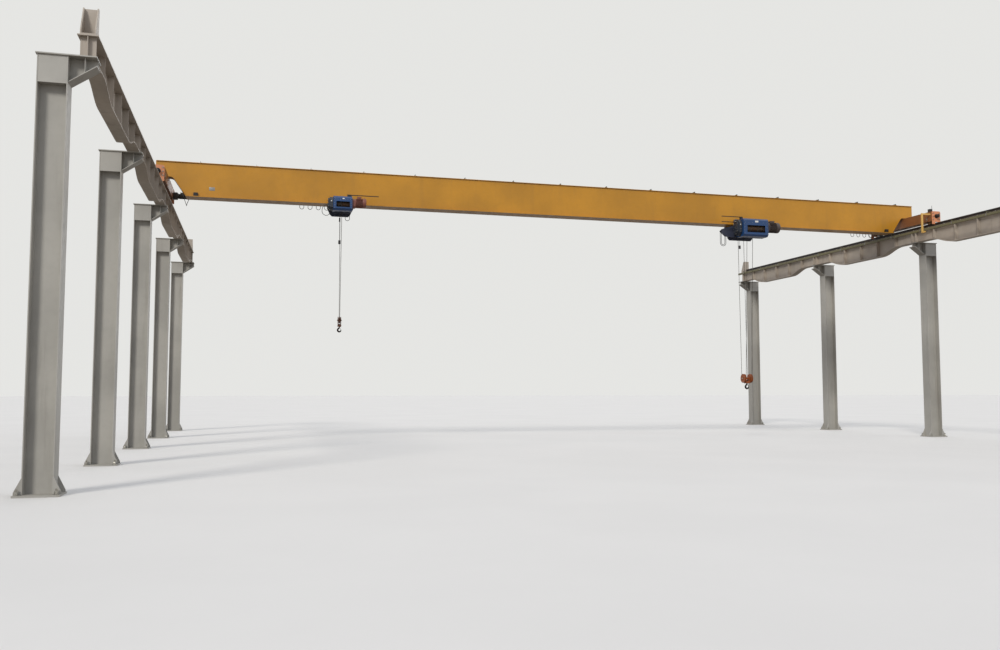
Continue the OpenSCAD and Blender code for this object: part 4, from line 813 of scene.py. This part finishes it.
def finned_motor(s, origin, axis, r, l, fins=32):
    """Ribbed frame, fan cowl and terminal box; the axis lies level and the box sits on top."""
    o, w = Vector(origin), Vector(axis).normalized()
    up = Vector((0, 0, 1))
    side = w.cross(up)

    def spoke(a):
        return side * math.cos(a) + up * math.sin(a)

    s.lathe(o, w, [(0, r * 0.92), (l * 0.05, r * 0.92), (l * 0.065, r * 0.84), (l * 0.67, r * 0.84),
                   (l * 0.675, r * 0.98), (l * 0.70, r), (l * 0.92, r), (l * 0.97, r * 0.95),
                   (l, r * 0.82), (l, r * 0.70), (l * 0.985, r * 0.69), (l * 0.985, 0)], 40)
    for k in range(1, 4):
        q = r * (0.18 + 0.15 * k)
        s.lathe(o + w * (l * 0.984), w, [(0, q + 0.0035), (l * 0.012, q + 0.0035),
                                         (l * 0.012, q - 0.0035), (0, q - 0.0035)], 28)

    def blade(a, outline, start, length):
        u = spoke(a)
        v = w.cross(u)
        s.prism(outline,
                lambda p, q, t: o + w * (l * (start + length * t)) + u * (p * r) + v * q)

    for k in range(8):
        blade(math.pi * k / 4, [(0.12, -0.004), (0.72, -0.004), (0.72, 0.004), (0.12, 0.004)],
              0.984, 0.013)
    for k in range(fins):
        a = 2 * math.pi * (k + 0.5) / fins
        if math.sin(a) <= 0.84:
            blade(a, [(0.82, -0.0032), (0.99, -0.0018), (0.99, 0.0018), (0.82, 0.0032)],
                  0.085, 0.565)
    corners = [o + w * (l * p) + side * (r * q) + up * (r * z)
               for p in (0.2, 0.56) for q in (-0.45, 0.45) for z in (0.78, 1.16)]
    low, high = ([pick(c[i] for c in corners) for i in range(3)] for pick in (min, max))
    s.box(low, high, 0.006)
    s.box([low[0] - 0.004, low[1] - 0.004, high[2] - 0.003],
          [high[0] + 0.004, high[1] + 0.004, high[2] + 0.012], 0.004)
    for p in (0.22, 0.54):
        for q in (-0.38, 0.38):
            s.bolt(o + w * (l * p) + side * (q * r) + up * (high[2] - o.z + 0.012), (0, 0, 1),
                   0.011, washer=False)
    s.lathe(o + w * (l * 0.38) + side * (r * 0.45) + up * (r * 0.95), side,
            [(0, 0.017), (0.012, 0.017), (0.013, 0.012), (0.030, 0.012)], 12)
    for k in range(4):
        u = spoke(math.pi * (k / 2 + 0.25))
        s.bolt(o + w * (l * 0.925) + u * (r * 0.93), u, 0.012, washer=False)


def octagon(w, h, c):
    return [(w, -h + c), (w, h - c), (w - c, h), (-w + c, h), (-w, h - c), (-w, -h + c),
            (-w + c, -h), (w - c, -h)]


def travel_drive(sn, side):
    """Eight-sided case on the bearing plate, and the travel motor on its flange."""
    s = Solid()
    x0 = side * (RAIL_X - TRUCK_W / 2 - BEARING_T)
    y, z = BY + WHEELBASE / 2, AXLE_Z
    s.prism(octagon(0.105, 0.105, 0.03),
            lambda u, v, t: (x0 - side * FLANGE_L * t, y + u, z + v), 0.004)
    s.lathe((x0 - side * (FLANGE_L - 0.002), y, z), (-side, 0, 0),
            [(0, 0.098), (0.014, 0.098), (0.020, 0.085)], 36)
    s.bolt_ring((x0 - side * (FLANGE_L + 0.012), y, z), 0.088, 8, 0.013, -side, washer=False)
    for dy, dz in CORNERS:
        s.bolt((x0 - side * FLANGE_L, y + dy * 0.086, z + dz * 0.072), (-side, 0, 0), 0.016)
    finned_motor(s, (x0 - side * DRIVE_STEM, y, z), (-side, 0, 0), DRIVE_R, DRIVE_L, 26)
    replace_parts(s.piece(sn + "_finned_drive", "bridge", "dark_motor"), sn + "_drive")


def hoist_motor(sn, h):
    """Bearing case at the housing's end, with the hoisting motor on it."""
    s = Solid()
    r = h["mr"]
    x1 = h["x0"] + h["l"] + FIT
    s.prism(octagon(r * 0.82, r * 0.95, r * 0.35),
            lambda u, v, t: (x1 + BEARING_L * t, h["y"] + u, h["dz"] + MOTOR_UP / 2 + v), 0.005)
    for u, v in octagon(r * 0.72, r * 0.85, r * 0.40):
        s.bolt((x1 + BEARING_L, h["y"] + u, h["dz"] + MOTOR_UP / 2 + v), (1, 0, 0), 0.016,
               washer=False)
    finned_motor(s, (x1 + BEARING_L - 0.001, h["y"], h["dz"] + MOTOR_UP), (1, 0, 0), r,
                 h["ml"] + 0.001)
    paint = GREY_MOTOR if sn == "big" else None
    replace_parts(s.piece(sn + "_finned_motor", sn + "_hoist", h["motor"], paint), sn + "_motor")


def housing_details(sn, h):
    """Window rim, end flanges with bolts, top seam, lifting eye and gear case fittings."""
    s = Solid()
    x0, y, z, l, tall, w = h["x0"], h["y"], h["dz"], h["l"], h["h"], h["w"]
    face, top = y - w / 2, z + tall / 2
    wx0, wx1 = (x0 + share * l for share in WINDOW_X)
    wz0, wz1 = (z + share * tall for share in WINDOW_Z)
    rim = 0.014
    for xa, za, xb, zb in ((wx0 - rim, wz0 - rim, wx1 + rim, wz0),
                           (wx0 - rim, wz1, wx1 + rim, wz1 + rim),
                           (wx0 - rim, wz0, wx0, wz1), (wx1, wz0, wx1 + rim, wz1)):
        s.box((xa, face - 0.004, za), (xb, face + 0.001, zb), 0.0012)
    for x in (x0 + 0.001, x0 + l - 0.013):
        s.prism(octagon(w / 2 + 0.004, tall / 2 + 0.004, 0.062),
                lambda u, v, t, x=x: (x + 0.012 * t, y + u, z + v), 0.001)
    s.box((x0 + 0.012, y - 0.012, top - 0.001), (x0 + l - 0.012, y + 0.012, top + 0.003), 0.001)
    s.piece(sn + "_housing_trim", sn + "_hoist", "hoist_blue")
    b = Solid()
    for x in (x0 + 0.035, x0 + l - 0.035):
        for k in range(5):
            b.bolt((x, face, z + tall * (k - 2) * 0.17), (0, -1, 0), 0.013)
    for k in range(7):
        x = x0 + 0.06 + (l - 0.12) * k / 6
        b.bolt((x, y - 0.05, top), (0, 0, 1), 0.012)
        b.bolt((x, face, z + 0.26 * tall), (0, -1, 0), 0.012)
    gx, gl, gw, gh = h["gear_x"], h["gear"], h["gear_w"], h["gear_h"]
    for u, v in octagon(gw * 0.76, gh * 0.78, gh * 0.33):
        b.bolt((gx, y + u, z + v), (-1, 0, 0), 0.018)
    b.bolt_ring((gx - COVER_T, y, z - gh * 0.33), gh * 0.32, 6, 0.013, -1, 1 / 6)
    for share in (0.5, 0.8):
        for k in range(4):
            b.bolt((gx + gl * share, y - gw, z + gh * (k - 1.5) * 0.34), (0, -1, 0), 0.012)
    eye_x, eye_y, eye_r = x0 + 0.5 * l, y + 0.09, 0.03
    b.tube([(eye_x + eye_r * math.cos(a), eye_y, top + 0.022 + eye_r * math.sin(a))
            for a in (math.pi * 2 * k / 20 for k in range(21))], 0.006)
    b.lathe((eye_x, eye_y, top - 0.001), (0, 0, 1),
            [(0, 0.018), (0.008, 0.018), (0.010, 0.012)], 16)
    b.piece(sn + "_housing_bolts", sn + "_hoist", "galvanised", ZINC)
    g = Solid()
    for v in (-0.45, 0.0, 0.45):
        g.box((gx + gl * 0.32, y - gw - 0.006, z + gh * v - 0.004),
              (gx + gl - 0.004, y - gw + 0.001, z + gh * v + 0.004), 0.001)
    for v in (-1, 1):
        g.box((gx + gl * 0.3, y - gw * 0.5, z + v * gh - 0.004),
              (gx + gl * 0.3 + 0.012, y + gw * 0.5, z + v * gh + 0.004), 0.001)
    g.lathe((gx, y, z + gh * 0.50), (-1, 0, 0), [(-0.001, 0.030), (0.006, 0.030), (0.010, 0.022)],
            24)
    g.piece(sn + "_gear_ribs", sn + "_hoist", "gear_dark")
    pale = Solid()
    pale.lathe((gx + gl * 0.62, y - gw, z + gh * 0.36), (0, -1, 0),
               [(-0.001, 0.020), (0.004, 0.020), (0.005, 0.016)], 24)
    up, size = h["badge"]
    px, pz = x0 + 0.53 * l, z + up
    pale.box((px - size, face - 0.0025, pz - size / 2), (px + size, face + 0.001, pz + size / 2),
             0.0008)
    for dx in (-0.85, 0.85):
        pale.lathe((px + dx * size, face - 0.002, pz), (0, -1, 0),
                   [(0, 0.0030), (0.0015, 0.0026), (0.0022, 0.0012)], 10)
    pale.piece(sn + "_pale_fittings", sn + "_hoist", "galvanised", PALE)


def windings(sn, h):
    """Turns of rope in the drum's grooves, up to where each fall leaves the drum."""
    s = Solid()
    inner = h["l"] - 0.032
    pitch = (inner - 0.08) / GROOVES
    start = h["x0"] + 0.016
    r = h["drum"] - 0.004 + ROPE_D / 2
    left = start + 0.04 + pitch / 2
    right = start + inner - 0.04 - pitch / 2
    for a, dx in zip((left, right), h["falls"]):
        b = h["x"] + dx
        way = 1 if b > a else -1
        steps = 22
        pts = []
        for i in range(int(abs(b - a) / pitch) * steps + 1):
            q = 2 * math.pi * i / steps
            pts.append((a + way * pitch * i / steps, h["y"] + r * math.cos(q) * way,
                        h["dz"] + r * math.sin(q)))
        s.tube(pts, ROPE_D / 2, 6)
    s.piece(sn + "_rope_windings", sn + "_drum", "rope_steel")


def control_details(sn, h):
    """Door, hinges, lock, vents and cable glands of the control box on the far side."""
    s = Solid()
    half = 0.45 * h["l"]
    x, y = h["x"], CONTROL_Y
    z0, z1 = CONTROL_Z
    s.box((x - half + 0.02, y - 0.001, z0 + 0.02), (x + half - 0.02, y + 0.012, z1 - 0.02), 0.004)
    for k in range(6):
        z = z0 + 0.09 + 0.018 * k
        s.box((x - 0.09, y + 0.011, z), (x + 0.09, y + 0.015, z + 0.008), 0.0015)
    s.box((x - half - 0.012, y - 0.31, z1 - 0.001), (x + half + 0.012, y + 0.02, z1 + 0.006),
          0.002)
    s.piece(sn + "_control_door", sn + "_hoist", "hoist_blue")
    b = Solid()
    for dz in (0.08, 0.35):
        b.lathe((x - half + 0.016, y + 0.010, z0 + dz - 0.025), (0, 0, 1),
                [(0, 0.008), (0.05, 0.008)], 12)
    b.lathe((x + half - 0.06, y + 0.011, (z0 + z1) / 2), (0, 1, 0),
            [(0, 0.014), (0.006, 0.014), (0.008, 0.010)], 18)
    for k in range(4):
        b.lathe((x - 0.12 + 0.08 * k, y - 0.10, z0), (0, 0, -1),
                [(-0.001, 0.016), (0.012, 0.016), (0.013, 0.011), (0.03, 0.011)], 12)
    for dx, dy in CORNERS:
        b.bolt((x + dx * h["base"] / 2, BY + dy * (CHEEK_OUT + 0.0045), TROLLEY_Z), (0, dy, 0),
               0.022)
    b.piece(sn + "_control_fittings", sn + "_hoist", "galvanised", ZINC)


def block_details(sn, h):
    """Axle nuts, cheek bolts and crosshead bolts of a hook block."""
    s = Solid()
    r = h["sheave"]
    last = h["falls"][-1]
    out = last + 0.048
    for side in (-1, 1):
        x = h["x"] + side * out
        s.bolt((x + side * 0.008, BY, h["z"]), (side, 0, 0), r * 0.30, 0.4)
        if h["n"] == 2:
            s.bolt_ring((x, BY, h["z"]), r * 0.82, 6, 0.016, side, 1 / 6)
        for dy in (-1, 1):
            z = h["z"] - h["cross"] + (0.0 if h["n"] == 1 else r * 0.1)
            edge = out if h["n"] == 1 else last - 0.036
            s.bolt((h["x"] + side * edge, BY + dy * r * 0.26, z), (side, 0, 0), 0.018)
    s.piece(sn + "_block_bolts", sn + "_block", "galvanised", ZINC)


def hook_piece(sn, h):
    """Forged hook in one sweep, thicker on its inner side, with its nut and safety latch."""
    k = h["k"]
    nut = 0.25 * h["sheave"] + FIT
    at = Vector((h["x"], BY, h["z"] - h["cross"]))
    along, across, up = Vector((1, 0, 0)), Vector((0, 1, 0)), Vector((0, 0, 1))

    def bowl(a):
        return Vector((1.25 * k * math.cos(a), 0, 1.25 * k * math.sin(a) - 3.3 * k))

    start, sweep, share, n = math.radians(150), math.radians(240), 0.3, 56
    join = bowl(start)
    way = Vector((-math.sin(start), 0, math.cos(start)))
    neck = [up * (-1.1 * k), up * (-1.7 * k), join - way * 0.5 * k, join]
    pts = [bezier_point(neck, i / n / share) if i / n < share
           else bowl(start + sweep * (i / n - share) / (1 - share)) for i in range(n + 1)]
    rings = [circle(at + up * z, along, across, 0.5 * k, 20)
             for z in (nut + 0.001, -0.9 * k, -1.08 * k)]
    for i in range(1, n + 1):
        t = i / n
        d = (pts[min(i + 1, n)] - pts[i - 1]).normalized()
        side = Vector((-d.z, 0, d.x))
        size = k * (0.48 + 0.16 * math.sin(math.pi * min(t * 1.1, 1))
                    - 0.34 * max((t - 0.6) / 0.4, 0) ** 2)
        ease = min(t / 0.25, 1.0)
        rings.append([at + pts[i] + side * (size * math.cos(a))
                      + across * (size * math.sin(a) * (1 - 0.2 * ease)
                                  * (1 + 0.22 * ease * math.cos(a)))
                      for a in (2 * math.pi * j / 20 for j in range(20))])
    s = Solid()
    s.quad_strip(rings)
    tip = pts[n] - (pts[n] - pts[n - 1]).normalized() * 0.002
    s.lathe(at + tip, (pts[n] - pts[n - 1]), [(0, 0.145 * k), (0.05 * k, 0.10 * k)], 14)
    s.bolt(at + up * nut, up, 1.55 * k, 0.42, washer=False, stub=0.06 * k)
    s.lathe(at + up * (nut - 0.004), up, [(0, 0.82 * k), (0.004, 0.82 * k)], 24)
    hook = s.piece(sn + "_forged_hook", sn + "_hook", "hook_black", angle=50)
    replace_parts(hook, sn + "_hook")
    latch = Solid()
    a, b = Vector((0.02 * k, 0, -1.62 * k)), Vector((1.10 * k, 0, -2.52 * k))
    d = (b - a).normalized()
    rise = Vector((-d.z, 0, d.x))

    def spread(y, width):
        return lambda u, v, t: (at + a + (b - a) * u + rise * (v * k)
                                + across * (y * k + width * k * t))

    for y in (-0.42, 0.36):
        latch.prism([(0, -0.16), (0.22, -0.20), (1.0, -0.04), (1.0, 0.04), (0.22, 0.18),
                     (0, 0.16)], spread(y, 0.06))
    latch.prism([(0.25, 0.02), (1.04, -0.03), (1.04, 0.05), (0.25, 0.10)], spread(-0.40, 0.80),
                0.001)
    latch.lathe(at + a + across * (-0.50 * k), across, [(0, 0.10 * k), (k, 0.10 * k)], 14)
    latch.piece(sn + "_hook_latch", sn + "_hook", "galvanised")


for sn, side in SIDES:
    runway_details(sn, side)
    travel_drive(sn, side)
conductor_clamps()
girder_welds()
truck_fittings()
girder_fittings()
travel_switch()
for sn, h in HOISTS.items():
    hoist_motor(sn, h)
    housing_details(sn, h)
    windings(sn, h)
    control_details(sn, h)
    block_details(sn, h)
    hook_piece(sn, h)


# Floor, backdrop and light
ground = Solid()
reach = (-300, 300)
ground.quad_strip([[(x, y, 0) for x in reach] for y in reach], closed=False, caps=False)
ground.piece("floor", None, None,
                      concrete("floor", [0.86, 0.85, 0.83], [0.60, 0.57, 0.53]))


def studio_world(light_rgb, strength, backdrop_rgb):
    """Soft light all round, and a plain backdrop for the camera and for reflections."""
    world = bpy.data.worlds.new("studio")
    bpy.context.scene.world = world
    world.use_nodes = True
    tree = world.node_tree
    tree.nodes.clear()
    out, light, seen, mix, path, either = (tree.nodes.new("ShaderNode" + kind) for kind in (
        "OutputWorld", "Background", "Background", "MixShader", "LightPath", "Math"))
    either.operation = "MAXIMUM"
    for node, rgb, number in ((light, light_rgb, strength), (seen, backdrop_rgb, 1.0)):
        node.inputs["Color"].default_value = linear(rgb)
        node.inputs["Strength"].default_value = number
    for a, b in ((path.outputs["Is Camera Ray"], either.inputs[0]),
                 (path.outputs["Is Glossy Ray"], either.inputs[1]),
                 (either.outputs[0], mix.inputs[0]), (light.outputs[0], mix.inputs[1]),
                 (seen.outputs[0], mix.inputs[2]), (mix.outputs[0], out.inputs[0])):
        tree.links.new(a, b)


def sun(name, direction, strength, angle, rgb):
    """A sun lamp that shines along a direction; angle is its width in degrees."""
    data = bpy.data.lights.new(name, "SUN")
    data.energy = strength
    data.angle = math.radians(angle)
    data.color = rgb
    obj = bpy.data.objects.new(name, data)
    obj.rotation_euler = Vector(direction).to_track_quat("-Z", "Y").to_euler()
    bpy.context.scene.collection.objects.link(obj)


studio_world([0.93, 0.95, 1.0], 0.62, [0.90, 0.90, 0.89])
sun("key", (0.55, 0.75, -0.62), 1.9, 14.0, (1.0, 0.97, 0.92))
sun("fill", (-0.8, 0.15, -0.45), 0.55, 40.0, (0.92, 0.96, 1.0))
sun("lift", (0.1, 0.5, 0.8), 0.25, 60.0, (1.0, 0.95, 0.88))
sun("back", (-0.25, -0.8, -0.5), 0.5, 45.0, (0.95, 0.97, 1.0))

bpy.context.scene.view_settings.view_transform = "Standard"
